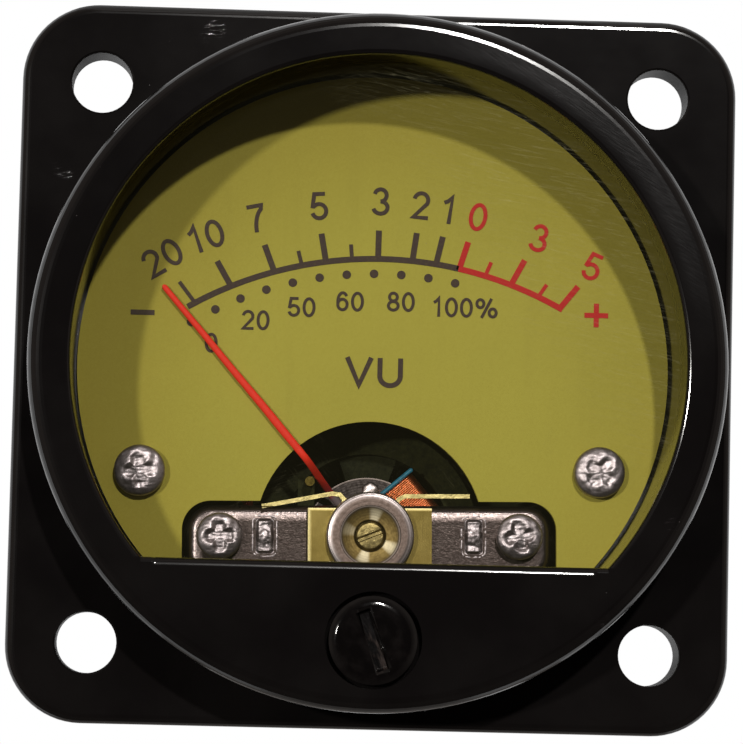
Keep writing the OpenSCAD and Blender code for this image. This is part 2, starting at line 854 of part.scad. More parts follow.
module pointer_hub() {
    color("#b8b4b6") at_axis() {
        slab(coil_front, hub_front) ring(hub_r, pivot_r);
        slab(rear_hub_back, coil_back) ring(hub_r, pivot_r);
    }
}

module pointer() {
    root_h = hub_front - pointer_t;
    slope = (pointer_h - root_h) / (crank_end - crank_start);
    lift = pointer_t * sqrt(1 + slope * slope);
    back_step = (lift - pointer_t) / slope;
    side = [[arm_start, root_h], [crank_start, root_h], [crank_end, pointer_h], [pointer_l, pointer_h],
        [pointer_l, pointer_h + pointer_t], [crank_end - back_step, pointer_h + pointer_t],
        [crank_start - back_step, root_h + pointer_t], [arm_start, root_h + pointer_t]];
    color("#dc2d1e") at_axis() clockwise(-pointer_rest) intersection() {
        rotate([0, -90, 0]) rotate([0, 0, -90]) linear_extrude(2 * pointer_root_w, center = true)
            polygon([for (p = side) [p[1], p[0]]]);
        slab(root_h - eps, pointer_h + eps) polygon([[-pointer_root_w / 2, 0],
            [pointer_root_w / 2, 0], [pointer_tip_w / 2, pointer_l], [-pointer_tip_w / 2, pointer_l]]);
    }
}

module balance_tail() {
    color("#b8993f") at_axis() clockwise(180 - pointer_rest)
        slab(hub_front - pointer_t, hub_front) translate([-tail_w / 2, arm_start])
            square([tail_w, tail_l - arm_start]);
}

module balance_weights() {
    color("#9a9a9e") at_axis() clockwise(180 - pointer_rest) for (r = WEIGHT_REACHES)
        at(0, r) rod(hub_front, hub_front + weight_t, weight_r);
}

// Cross-section along the coil's long axis between two heights, w wide to each side
module coil_frame(outer, inner, front, back, wall, depth) {
    at_axis() clockwise(-pointer_rest) difference() {
        slab(back, front) square([2 * outer, depth], center = true);
        slab(back + wall, front - wall) square([2 * inner, depth + 2 * eps], center = true);
    }
}

module coil_former() {
    color("#c4c4c8") coil_frame(coil_inner + former_t, coil_inner, former_front, former_back,
        former_t, coil_w);
}

module coil_winding() {
    color("#b0603a") coil_frame(coil_outer, coil_inner + former_t, coil_front, coil_back,
        winding_t, coil_w);
}

// Enamelled end of the winding, laid along the edge of its front limb
module coil_lead() {
    y = -coil_front - lead_r;
    z = coil_w / 2 - lead_r;
    color("#2f86a8") at_axis() clockwise(-pointer_rest)
        wire([[lead_start, y, z], [coil_outer, y, z]], lead_r);
}

module magnet_core() {
    color("#a09a9c") at_axis() rod(core_back, core_front, core_r);
}

module core_spacers() {
    reach = 2 * yoke_inner_r;
    color("#202020") at_axis() for (turn = [0, 180]) clockwise(turn)
        slab(yoke_back + spacer_inset, yoke_front - spacer_inset) intersection() {
            ring(yoke_inner_r - fit_clear, core_r + fit_clear);
            polygon([[0, 0], reach * bearing(-spacer_angle), reach * bearing(spacer_angle)]);
        }
}

module yoke_ring() {
    color("#33332f") at_movement() slab(yoke_back, yoke_front) difference() {
        d_shape(yoke_outer_r, yoke_flat);
        circle(yoke_inner_r, $fn = fine);
    }
}

// Blackened tab under the bridge that carries the left stop pin
module stop_tab() {
    foot = bridge_top - stop_tab_lap;
    color("#222222") at_axis() slab(bridge_back - stop_tab_t, bridge_back)
        translate([stop_x - stop_tab_w, foot])
            square([stop_tab_w + stop_pin_r + seat_clear, stop_z + stop_tab_margin - foot]);
}

module stop_pins() {
    color("#b8993f") at_axis() {
        at(stop_x, stop_z) rod(bridge_back, stop_pin_front, stop_pin_r);
        clockwise(tail_stop_bearing) at(0, tail_stop_reach)
            rod(hub_front - pointer_t, bridge_back, stop_pin_r);
    }
}

module movement_base() {
    color("#1a1a1a") difference() {
        union() {
            rod(base_back, base_front, base_r);
            at_movement() {
                both(bridge_screw_x, 0) rod(rear_bridge_front, bridge_back, post_r);
                both(dial_screw_x, dial_screw_up) rod(base_front - eps, dial_back, dial_post_r);
            }
            at(0, top_post_z) rod(base_front - eps, dial_back, dial_post_r);
        }
        at_movement() {
            slab(base_back - eps, base_front + eps) d_shape(yoke_outer_r + fit_clear, yoke_flat + fit_clear);
            both(bridge_screw_x, 0) {
                rod(bridge_front - screw_l - screw_end_gap, bridge_back + eps, screw_r);
                rod(rear_bridge_front - eps, rear_bridge_back + screw_l + screw_end_gap, screw_r);
            }
            both(dial_screw_x, dial_screw_up) rod(dial_h - screw_l - screw_end_gap, dial_back + eps, screw_r);
        }
        for (p = PILLARS) at(p[0], p[1]) rod(base_back - eps, base_front - pillar_screw_skin, screw_r);
        at(wire_x, wire_hole_z) rod(base_back - eps, base_front + eps, wire_hole_r);
    }
}

module rear_bridge() {
    color("#8c8688") at_movement() difference() {
        slab(rear_bridge_back, rear_bridge_front)
            square([2 * bridge_half_l, 2 * bridge_top], center = true);
        rod(rear_bridge_back - eps, rear_bridge_front + eps, jewel_screw_bore_r);
        both(bridge_screw_x, 0) rod(rear_bridge_back - eps, rear_bridge_front + eps, screw_r + screw_clear);
    }
}

// Mirrors a screw whose head would sit at height seat so that it points forward from the back
module from_behind(seat) {
    translate([0, -2 * seat, 0]) mirror([0, 1, 0]) children();
}

module rear_bridge_screws() {
    color("#b4aeb0") at_movement() both(bridge_screw_x, 0) from_behind(rear_bridge_back)
        pan_screw(bridge_screw_head_d, rear_bridge_back, screw_l);
}

module rear_jewel_screw() {
    color("#b8993f") at_axis()
        jewel_screw(rear_screw_face, rear_bridge_front + bridge_back - jewel_mouth, 35);
}

module rear_lock_nut() {
    color("#c2a04a") at_axis()
        slab(rear_nut_back, rear_bridge_back - anchor_t) difference() {
            circle(lock_nut_r, $fn = 6);
            circle(jewel_screw_bore_r, $fn = fine);
        }
}

// Brass tag behind the rear bridge, bent forward over its edge to hold the rear spring
module rear_spring_anchor() {
    color("#b8993f") at_axis() {
        slab(rear_bridge_back - anchor_t, rear_bridge_back) difference() {
            translate([-anchor_half_w, -anchor_half_w])
                square([2 * anchor_half_w, anchor_half_w + spring_tab_end]);
            circle(jewel_screw_bore_r, $fn = fine);
        }
        slab(rear_bridge_back - anchor_t / 3, rear_spring_back + spring_w) spring_tab();
    }
}

// Outline of the base, its posts, the yoke and the front bridge's lower corners, grown by a gap
module movement_outline(gap) {
    corner = [bridge_half_l - bridge_corner_r, bridge_corner_r - bridge_bottom, bridge_corner_r];
    rounds = [[dial_screw_x, dial_screw_up, dial_post_r], [bridge_screw_x, 0, post_r], corner];
    circle(base_r + gap, $fn = fine);
    translate([0, top_post_z]) circle(dial_post_r + gap, $fn = fine);
    outline_at_movement() {
        for (p = rounds, side = [-1, 1]) translate([side * p[0], p[1]]) circle(p[2] + gap, $fn = fine);
        d_shape(yoke_outer_r + gap, yoke_flat + gap);
    }
}

module rear_case() {
    color("#181818") difference() {
        union() {
            difference() {
                union() {
                    rod(case_back, 0, case_r);
                    slab(case_back, 0) movement_outline(post_clear + case_wall);
                    rod(-eps, rim_lap, rim_r);
                }
                slab(case_floor, rim_lap + eps) movement_outline(post_clear);
            }
            for (p = PILLARS) at(p[0], p[1]) rod(case_floor - eps, base_back, pillar_r);
            polarity_signs();
        }
        for (p = PILLARS) at(p[0], p[1]) {
            rod(case_back - eps, base_back + eps, screw_r + screw_clear);
            rod(case_back - eps, case_back + head_t, bridge_screw_head_d / 2 + post_clear);
        }
        both(terminal_x, terminal_up) rod(case_back - eps, case_floor + eps, terminal_d / 2 + seat_clear);
        floor_reliefs();
    }
}

// Clears the rear bearing's nut and the rear bridge's screw heads where they reach the floor
module floor_reliefs() {
    at_movement() {
        rod(rear_screw_face - post_clear, base_back, lock_nut_r + post_clear);
        both(bridge_screw_x, 0)
            rod(rear_bridge_back - head_t - post_clear, base_back, bridge_screw_head_d / 2 + post_clear);
    }
}

// Plus and minus signs moulded beside the terminals
module polarity_signs() {
    slab(case_back - sign_relief, case_back + sign_relief) {
        for (side = [-1, 1]) translate([side * terminal_x, sign_up])
            square([sign_size, sign_stroke], center = true);
        translate([-terminal_x, sign_up]) square([sign_stroke, sign_size], center = true);
    }
}

module case_screws() {
    seat = case_back + head_t;
    color("#b4aeb0") for (p = PILLARS) at(p[0], p[1]) from_behind(seat)
        pan_screw(bridge_screw_head_d, seat, base_front - pillar_screw_skin - post_clear - seat);
}

module terminal_studs() {
    color("#c2a86a") both(terminal_x, terminal_up) {
        rod(case_back - terminal_l, nut_back, terminal_d / 2);
        rod(nut_back - eps, stud_front, stud_core_r);
    }
}

// Hexagonal nut outline, bored for the stud's core
module nut_outline() {
    difference() {
        circle(nut_af / sqrt(3), $fn = 6);
        circle(stud_core_r + fit_clear, $fn = fine);
    }
}

module terminal_inner_nuts() {
    color("#c9c3b0") both(terminal_x, terminal_up) slab(case_floor, case_floor + nut_t) nut_outline();
}

module terminal_washers() {
    color("#c9c3b0") both(terminal_x, terminal_up)
        slab(case_back - washer_t, case_back) ring(washer_r, terminal_d / 2 + fit_clear);
}

module solder_tags() {
    back = case_back - washer_t - tag_t;
    color("#c9c3b0") both(terminal_x, terminal_up) slab(back, back + tag_t) difference() {
        union() {
            circle(washer_r - post_clear, $fn = fine);
            translate([-tag_w / 2, -tag_reach]) square([tag_w, tag_reach]);
            translate([0, -tag_reach]) circle(tag_w / 2, $fn = fine);
        }
        circle(terminal_d / 2 + fit_clear, $fn = fine);
        translate([0, -tag_hole_reach]) circle(tag_hole_r, $fn = fine);
    }
}

module terminal_nuts() {
    color("#c9c3b0") both(terminal_x, terminal_up) slab(nut_back, nut_back + nut_t) nut_outline();
}

// Lead from each terminal to the spring that it feeds
module lead_wires() {
    y = -(stud_front + wire_r);
    front_y = wire_r - bridge_back;
    color("#a02020") wire([[-terminal_x, y, terminal_up], [wire_x, y, wire_hole_z],
        [wire_x, front_y + 0.1, wire_hole_z], [wire_end_x, front_y, axis_z + bridge_top - 0.5]], wire_r);
    color("#202020") wire([[terminal_x, y, terminal_up], [WIRE_BEND[0], y, WIRE_BEND[1]],
        [0, -rear_bridge_back - rear_bridge_t / 2, axis_z + spring_tab_end + wire_r]], wire_r);
}

front_housing();
window();
zero_adjuster();
adjuster_retainer();
dial_plate();
scale_print_black();
scale_print_red();
dial_screws();
front_bridge();
bridge_screws();
yoke_lugs();
zero_lever();
lock_ring();
bearing_bush();
front_jewel_screw();
jewels();
pivots();
spring_collets();
front_hairspring();
rear_hairspring();
pointer_hub();
pointer();
balance_tail();
balance_weights();
coil_former();
coil_winding();
coil_lead();
magnet_core();
core_spacers();
yoke_ring();
stop_tab();
stop_pins();
movement_base();
rear_bridge();
rear_bridge_screws();
rear_jewel_screw();
rear_lock_nut();
rear_spring_anchor();
rear_case();
case_screws();
terminal_studs();
terminal_inner_nuts();
terminal_washers();
solder_tags();
terminal_nuts();
lead_wires();
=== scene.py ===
import json
import math
import random
from functools import partial, reduce

import bmesh
import bpy
from mathutils import Matrix, Vector, noise


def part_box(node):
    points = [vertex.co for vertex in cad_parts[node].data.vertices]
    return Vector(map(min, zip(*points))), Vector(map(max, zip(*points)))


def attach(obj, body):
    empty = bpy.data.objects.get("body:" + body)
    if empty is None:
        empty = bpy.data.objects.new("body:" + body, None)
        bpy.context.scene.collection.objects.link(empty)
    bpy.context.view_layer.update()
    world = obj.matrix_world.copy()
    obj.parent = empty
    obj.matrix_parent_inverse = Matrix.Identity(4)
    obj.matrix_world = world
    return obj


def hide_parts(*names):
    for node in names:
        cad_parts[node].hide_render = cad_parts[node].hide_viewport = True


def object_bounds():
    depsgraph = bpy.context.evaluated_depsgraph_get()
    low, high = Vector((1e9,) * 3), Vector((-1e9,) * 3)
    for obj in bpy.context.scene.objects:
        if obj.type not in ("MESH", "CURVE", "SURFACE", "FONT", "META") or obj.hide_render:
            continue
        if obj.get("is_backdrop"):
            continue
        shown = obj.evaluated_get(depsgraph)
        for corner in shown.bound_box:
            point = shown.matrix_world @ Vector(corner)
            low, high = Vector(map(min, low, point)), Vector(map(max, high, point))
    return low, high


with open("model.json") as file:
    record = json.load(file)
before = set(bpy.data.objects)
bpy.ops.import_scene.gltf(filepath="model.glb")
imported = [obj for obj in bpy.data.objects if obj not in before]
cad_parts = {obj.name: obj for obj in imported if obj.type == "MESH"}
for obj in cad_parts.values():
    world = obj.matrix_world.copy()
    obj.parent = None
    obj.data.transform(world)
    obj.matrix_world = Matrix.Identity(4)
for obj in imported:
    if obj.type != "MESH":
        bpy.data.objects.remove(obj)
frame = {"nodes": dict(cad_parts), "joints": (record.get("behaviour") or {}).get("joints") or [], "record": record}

MM = 0.001
NODES = frame["nodes"]
CAD_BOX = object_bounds()


# -------- places

def face_height(node):
    """Height of a node's front."""
    return -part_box(node)[0].y


def pair_places(node):
    """Middles and half sizes of the left and the right solid of a node that holds a pair."""
    places = []
    for side in (-1, 1):
        near = [v.co for v in NODES[node].data.vertices if v.co.x * side > 0]
        lo = Vector([min(p[k] for p in near) for k in range(3)])
        hi = Vector([max(p[k] for p in near) for k in range(3)])
        places.append(((lo + hi) / 2, (hi - lo) / 2))
    return places


def joint_place(name):
    return Vector(next(j["pos_m"] for j in frame["joints"] if j["name"] == name))


def slope_between(node):
    """Angle by which the line through a pair's two solids rises to the right."""
    (left, _), (right, _) = pair_places(node)
    return math.atan2(right.z - left.z, right.x - left.x)


def reach_about(node, about, tilt):
    """How far a node reaches left, right, down and up from a point, in a tilted frame and in
    millimetres."""
    across = Vector((math.cos(tilt), 0.0, math.sin(tilt)))
    up = Vector((-math.sin(tilt), 0.0, math.cos(tilt)))
    u = [(v.co - about).dot(across) / MM for v in NODES[node].data.vertices]
    v = [(v.co - about).dot(up) / MM for v in NODES[node].data.vertices]
    return min(u), max(u), min(v), max(v)


# A height is a distance in front of the flange's back, so it runs along -Y.
AXIS = joint_place("pointer_swing")
ADJUSTER_AXIS = joint_place("adjuster_turn")
DIAL_FACE = face_height("dial_plate")
INK_FACE = face_height("scale_print_black")
BRIDGE_FACE = face_height("front_bridge")
POINTER_BEARING = math.radians(-40.9)
MOVEMENT_TILT = slope_between("bridge_screws")
# The adjuster's slot leans to the left. In millimetres: its dome's radius, and how far out it is flat
ADJUSTER_TILT = math.radians(18.0)
ADJUSTER_DOME_R, ADJUSTER_FLAT_R = 4.3, 2.1
# In millimetres: how far the middles of the mounting holes lie from the bezel's, across and up, their
# radius, how far the sill lies below the bezel's middle, and where the flange's rounded edge starts
HOLE_REACH, HOLE_R, SILL_DROP, FLANGE_EDGE = 17.5, 1.9, 12.3, 22.0


def spot(x, z, height):
    """A point given by millimetres across and up from the bezel's centre, and a height in metres."""
    return Vector((x * MM, -height, z * MM))


def along(bearing, reach, height=0.0):
    """A point at a distance from the pointer's axis, along a clockwise bearing from upright."""
    return Vector((AXIS.x + reach * math.sin(bearing), -height, AXIS.z + reach * math.cos(bearing)))


def smooth_step(a, b, x):
    t = min(max((x - a) / (b - a), 0.0), 1.0)
    return t * t * (3 - 2 * t)


# -------- finishes

def add_node(tree, kind, settings=None, inputs=None, output=0):
    """Adds a node: its settings first, then the values or links of its inputs. Gives one output."""
    made = tree.nodes.new(kind)
    for name, value in (settings or {}).items():
        setattr(made, name, value)
    for name, value in (inputs or {}).items():
        if isinstance(value, bpy.types.NodeSocket):
            tree.links.new(value, made.inputs[name])
        else:
            made.inputs[name].default_value = value
    return made.outputs[output]


class Field:
    """A number that varies over a surface."""

    def __init__(self, finish, socket):
        self.finish = finish
        self.socket = socket

    def _join(self, operation, *values):
        return self.finish.node("ShaderNodeMath", {"operation": operation}, dict(enumerate(values)))

    def __add__(self, other):
        return self._join("ADD", self, other)

    __radd__ = __add__

    def __sub__(self, other):
        return self._join("SUBTRACT", self, other)

    def __rsub__(self, other):
        return self._join("SUBTRACT", other, self)

    def __mul__(self, other):
        return self._join("MULTIPLY", self, other)

    __rmul__ = __mul__

    def __truediv__(self, other):
        return self._join("DIVIDE", self, other)

    def __pow__(self, other):
        return self._join("POWER", self, other)

    def max(self, other):
        return self._join("MAXIMUM", self, other)

    def absolute(self):
        return self._join("ABSOLUTE", self)

    def sine(self):
        return self._join("SINE", self)

    def between(self, a, b):
        """Rises smoothly from 0 where the field is a to 1 where it is b."""
        return self.finish.node(
            "ShaderNodeMapRange",
            {"interpolation_type": "SMOOTHSTEP"},
            {"Value": self, "From Min": a, "From Max": b},
        )


class Finish:
    """A surface finish and its node tree."""

    def __init__(self, name, **constants):
        self.material = bpy.data.materials.new(name)
        self.material.use_nodes = True
        self.tree = self.material.node_tree
        self.tree.nodes.clear()
        self.output = self.tree.nodes.new("ShaderNodeOutputMaterial")
        self.shader = self.tree.nodes.new("ShaderNodeBsdfPrincipled")
        self.tree.links.new(self.shader.outputs[0], self.output.inputs["Surface"])
        self.place = self.node("ShaderNodeTexCoord", output="Object")
        for socket, value in constants.items():
            self.shader.inputs[socket.replace("_", " ")].default_value = value

    def node(self, kind, settings=None, inputs=None, output=0):
        inputs = {name: value.socket if isinstance(value, Field) else value
                  for name, value in (inputs or {}).items()}
        return Field(self, add_node(self.tree, kind, settings, inputs, output))

    def set(self, **fields):
        for name, value in fields.items():
            self.tree.links.new(value.socket, self.shader.inputs[name.replace("_", " ")])
        return self

    def stretched(self, x=1.0, y=1.0, z=1.0, turn=(0.0, 0.0, 0.0), about=(0.0, 0.0, 0.0)):
        """Object coordinates in millimetres about a point, turned and then scaled. A share below 1
        draws a pattern out along that axis, and a turn leans it to the right."""
        start = self.node(
            "ShaderNodeVectorMath", {"operation": "SUBTRACT"}, {0: self.place, 1: tuple(about)},
        )
        return self.node(
            "ShaderNodeMapping",
            {"vector_type": "TEXTURE"},
            {"Vector": start, "Rotation": turn, "Scale": (MM / x, MM / y, MM / z)},
        )

    def grain(self, where, scale, detail=3.0, roughness=0.5):
        """Cloudy noise, about 0.5 on average. A larger scale makes it finer."""
        return self.node(
            "ShaderNodeTexNoise",
            {"noise_dimensions": "3D"},
            {"Vector": where, "Scale": scale, "Detail": detail, "Roughness": roughness},
        )

    def cells(self, where, scale):
        """Distance from the middle of the nearest of many scattered cells."""
        return self.node("ShaderNodeTexVoronoi", {"feature": "F1"}, {"Vector": where, "Scale": scale})

    def part(self, where, axis):
        return self.node("ShaderNodeSeparateXYZ", None, {"Vector": where}, output=axis)

    def face_place(self, about=(0.0, 0.0, 0.0), tilt=0.0):
        """Distances across and up a front face from a point, in millimetres, in a frame that is
        tilted to the left."""
        where = self.stretched(about=about)
        x, z = self.part(where, "X"), self.part(where, "Z")
        if not tilt:
            return x, z
        return x * math.cos(tilt) + z * math.sin(tilt), z * math.cos(tilt) - x * math.sin(tilt)

    def patches(self, places):
        """1 inside soft round patches, each given by its middle across and up and its radius."""
        x, z = self.face_place()
        soft = []
        for across, up, radius in places:
            reach = ((x - across) * (x - across) + (z - up) * (z - up)) ** 0.5
            soft.append(1.0 - reach.between(radius * 0.7, radius * 1.1))
        return reduce(Field.max, soft)

    def blend(self, amount, first, second):
        """Mixes two colours, given as colours or links, by an amount."""
        first = (*first, 1.0) if isinstance(first, tuple) else first
        second = (*second, 1.0) if isinstance(second, tuple) else second
        return self.node(
            "ShaderNodeMix",
            {"data_type": "RGBA", "clamp_factor": True},
            {0: amount, 6: first, 7: second},
            output=2,
        )

    def bump(self, height, distance):
        return self.node("ShaderNodeBump", None, {"Height": height, "Distance": distance})

    def scratches(self, turns, density, reach):
        """Fine straight scratches in several directions, broken into short lengths."""
        marks = []
        for count, turn in enumerate(turns):
            line = self.grain(
                self.stretched(x=density, z=density * reach, turn=(0.0, math.radians(turn), 0.0)),
                2.4, detail=2.0,
            )
            patch = self.grain(self.stretched(x=0.12, z=0.12, y=0.12, turn=(0.0, 0.0, count)), 1.7)
            thin = (1.0 - ((line - 0.5).absolute() * 90.0)).max(0.0)
            marks.append(thin * patch.between(0.56, 0.68))
        return reduce(Field.max, marks)

    def specks(self, scale, size, share):
        """Scattered dust grains, on a share of the surface's cells."""
        where = self.stretched()
        near = self.cells(where, scale)
        chosen = self.grain(self.stretched(x=0.8, y=0.8, z=0.8), scale * 0.7)
        chosen = chosen.between(1 - share, 1.02 - share)
        return (1.0 - near.between(size * 0.6, size)) * chosen


def black_moulding():
    """Glossy black plastic: clean for the most part, with patches of dust and short scratches, a
    rubbed stretch on the upper right of the bezel's front, dull holes and a worn sill."""
    made = Finish("black_moulding", IOR=1.5, Specular_IOR_Level=0.5)
    x, z = made.face_place()
    reach = (x * x + z * z) ** 0.5
    ring = reach.between(18.9, 19.8) * (1.0 - reach.between(21.2, 21.5))
    rubbed = ring * ((x * 0.72 + z * 0.69) / reach).between(0.70, 0.97)
    from_hole = (((x.absolute() - HOLE_REACH) ** 2.0) + ((z.absolute() - HOLE_REACH) ** 2.0)) ** 0.5
    bore = 1.0 - from_hole.between(HOLE_R + 0.02, HOLE_R + 0.10)
    worn = made.patches(((-10.2, 20.6, 1.3), (-14.3, 17.8, 0.8), (-19.4, 12.4, 1.2), (14.2, -14.7, 1.4),
                         (18.4, -9.6, 1.0)))
    dust = made.specks(2.9, 0.10, 0.45) * worn
    marks = made.scratches((76.0, 82.0), density=2.6, reach=0.07) * worn.max(rubbed * 0.4)
    fluff = made.specks(1.2, 0.05, 0.36)
    brush_place = made.stretched(x=0.5, z=5.0, turn=(0.0, math.radians(32.0), 0.0))
    brush = made.grain(brush_place, 2.4, detail=4.0)
    cloud = made.grain(made.stretched(x=0.16, y=0.16, z=0.16), 1.0, detail=4.0)
    skin = made.grain(made.stretched(), 1.3, detail=2.0)
    body = made.blend(cloud.between(0.35, 0.7), (0.0046, 0.0038, 0.0038), (0.0070, 0.0060, 0.0058))
    body = made.blend(marks * 0.22, body, (0.20, 0.17, 0.18))
    body = made.blend((dust * 0.32).max(fluff * 0.22), body, (0.26, 0.22, 0.22))
    # The sill's edge is worn round, and the flange's top edge is dull for most of its length
    above_sill = z.between(-SILL_DROP + 0.05, -SILL_DROP + 0.3)
    sill_edge = z.between(-SILL_DROP - 0.50, -SILL_DROP - 0.04) * (1.0 - above_sill)
    sill_edge = sill_edge * (1.0 - x.absolute().between(13.2, 13.5))
    glossy_stretch = x.between(5.0, 6.5) * (1.0 - x.between(12.5, 14.0))
    top_edge = z.between(FLANGE_EDGE, FLANGE_EDGE + 0.2) * (1.0 - glossy_stretch)
    rough = 0.085 + cloud * 0.05 + dust * 0.25 + rubbed * (0.01 + brush * 0.09)
    rough = rough + (bore * 0.45).max(top_edge * 0.4)
    relief = skin * 0.0012 - marks * 0.002 + dust * 0.003 + brush * rubbed * 0.0025
    relief = relief - sill_edge * 0.074
    return made.set(Base_Color=body, Roughness=rough, Normal=made.bump(relief, MM))


def adjuster_black():
    """The adjuster's plastic: glossy, worn flat on top, with a little dust, and a slot whose lower floor is
    painted lighter in worn patches, a painted light.
    """
    made = Finish("adjuster_black", IOR=1.5, Specular_IOR_Level=0.5)
    dust = made.specks(3.4, 0.10, 0.36)
    cloud = made.grain(made.stretched(), 1.1, detail=5.0)
    across, up = made.face_place(ADJUSTER_AXIS, ADJUSTER_TILT)
    reach = (across * across + up * up) ** 0.5
    slot = (1.0 - across.absolute().between(0.34, 0.44)) * (1.0 - up.absolute().between(1.7, 2.1))
    scuff_place = made.stretched(x=2.0, z=0.6, turn=(0.0, math.radians(-20.0), 0.0))
    scuffs_and_floor_light = made.grain(scuff_place, 2.2, detail=4.0)
    body = made.blend(cloud.between(0.4, 0.75), (0.0034, 0.0028, 0.0028), (0.0070, 0.0058, 0.0056))
    # Painted light: the lower part of the slot's floor is lighter in worn patches, where light reaches into the
    # slot; its upper end stays dark
    lit_slot_floor = slot * (1.0 - up.between(-0.4, 1.4)) * scuffs_and_floor_light.between(0.42, 0.66)
    body = made.blend(lit_slot_floor, body, (0.040, 0.030, 0.026))
    body = made.blend(dust * 0.22, body, (0.19, 0.16, 0.15))
    rough = 0.05 + cloud * 0.06 + dust * 0.3 + slot * 0.10
    # The dome is worn flat, so that it only turns down close to its rim
    over_rim = (reach - ADJUSTER_FLAT_R).max(0.0)
    flat = (reach * reach) * (0.5 / ADJUSTER_DOME_R) - over_rim * over_rim * 0.46
    relief = cloud * 0.014 + dust * 0.004 + flat * (1.0 - slot) + scuffs_and_floor_light * slot * 0.02
    return made.set(Base_Color=body, Roughness=rough, Normal=made.bump(relief, MM))


def dial_paint():
    """Yellow-green dial paint with a fine grain and faint upright smears, painted darker and browner towards its
    rim and most at its upper left: painted shade from the bezel.
    """
    made = Finish("dial_paint", IOR=1.45, Specular_IOR_Level=0.12)
    grain = made.grain(made.stretched(), 9.0, detail=4.0, roughness=0.7)
    smear = made.grain(made.stretched(x=0.9, y=1.0, z=0.07), 1.0, detail=3.0)
    cloud = made.grain(made.stretched(x=0.1, y=0.1, z=0.1), 1.0, detail=2.0)
    across, up = made.face_place()
    reach = (across * across + up * up) ** 0.5
    # Painted shade: darker and browner towards the rim, most towards the upper left, where the bezel keeps light
    # off the dial
    edge = (reach - across * 0.10 + up * 0.12).between(8.0, 20.0)
    body = made.blend(edge, (0.405, 0.360, 0.054), (0.330, 0.276, 0.038))
    body = made.blend(cloud.between(0.35, 0.75) * 0.25, body, (0.31, 0.285, 0.042))
    body = made.blend(smear.between(0.5, 0.8) * 0.10, body, (0.24, 0.20, 0.030))
    body = made.blend((grain - 0.5) * 0.7, body, (0.50, 0.46, 0.11))
    body = made.blend((0.5 - grain) * 0.7, body, (0.20, 0.17, 0.016))
    specks = made.specks(2.2, 0.08, 0.25)
    body = made.blend(specks * 0.3, body, (0.62, 0.58, 0.32))
    rough = 0.62 + grain * 0.12
    return made.set(Base_Color=body, Roughness=rough, Normal=made.bump(grain, 0.006 * MM))


def ink(name, colour, worn):
    """Printed ink that lets a little of the paint through where it is thin."""
    made = Finish(name, IOR=1.45, Specular_IOR_Level=0.1)
    grain = made.grain(made.stretched(), 7.0, detail=4.0, roughness=0.7)
    body = made.blend(grain.between(0.45, 0.8) * 0.6, colour, worn)
    return made.set(Base_Color=body, Roughness=0.55 + grain * 0.15, Normal=made.bump(grain, 0.004 * MM))


def pointer_red():
    """Bright red lacquer that darkens to purple towards the hub, painted shade where the blade dips into the
    dial's cut-out, and then gives way to bare metal where the blade meets its hub.
    """
    made = Finish("pointer_red", IOR=1.5, Specular_IOR_Level=0.18)
    across, up = made.face_place(about=AXIS)
    reach = (across * across + up * up) ** 0.5
    grain = made.grain(made.stretched(), 6.0, detail=3.0)
    body = made.blend(grain.between(0.3, 0.7) * 0.3, (0.82, 0.034, 0.014), (0.66, 0.024, 0.012))
    # Painted shade: the blade darkens to purple where it dips down into the cut-out
    body = made.blend((1.0 - reach.between(3.7, 5.0)) * 0.9, body, (0.16, 0.014, 0.022))
    body = made.blend(1.0 - reach.between(3.2, 3.7), body, (0.10, 0.075, 0.075))
    return made.set(Base_Color=body, Roughness=0.45 + grain * 0.12, Normal=made.bump(grain, 0.006 * MM))


def metal(name, light, dark, rough, relief=0.01):
    """Plain bright metal: a mottled tone, fine scratches and a soft uneven surface."""
    made = Finish(name, Metallic=1.0)
    grain = made.grain(made.stretched(), 4.0, detail=5.0, roughness=0.6)
    fine = made.grain(made.stretched(), 20.0, detail=2.0)
    marks = made.scratches((20.0, -48.0, 71.0), density=5.0, reach=0.08)
    body = made.blend(grain.between(0.3, 0.75), light, dark)
    gloss = rough + grain * 0.16 + fine * 0.06
    height = grain * 0.7 + fine * 0.3 - marks * 0.4
    return made.set(Base_Color=body, Roughness=gloss, Normal=made.bump(height, relief * MM))


def cast_metal():
    """Die-cast bridge metal, dark grey-brown and granular. Its face falls away softly all round, and
    there it is painted lighter as a painted highlight."""
    made = Finish("nickel", Metallic=1.0)
    left, right, _, top = reach_about("front_bridge", AXIS, MOVEMENT_TILT)
    corner = 1.6
    across, up = made.face_place(AXIS, MOVEMENT_TILT)
    past_end = (across - (right - corner)).max((left + corner) - across).max(0.0)
    past_top = (up - (top - corner)).max(0.0)
    past = (past_end * past_end + past_top * past_top) ** 0.5
    crown_and_highlight = past.between(corner - 1.05, corner + 0.10)
    grain = made.grain(made.stretched(), 4.5, detail=3.0, roughness=0.7)
    pits = made.grain(made.stretched(x=0.6), 11.0, detail=1.0)
    body = made.blend(grain.between(0.32, 0.68), (0.125, 0.098, 0.088), (0.055, 0.041, 0.037))
    # Painted highlight: the edges where the face falls away are painted lighter
    body = made.blend(crown_and_highlight * 0.7, body, (0.34, 0.29, 0.28))
    gloss = 0.22 + grain * 0.16
    height = grain * 0.014 + pits * 0.007 - crown_and_highlight * 0.112
    return made.set(Base_Color=body, Roughness=gloss, Normal=made.bump(height, MM))


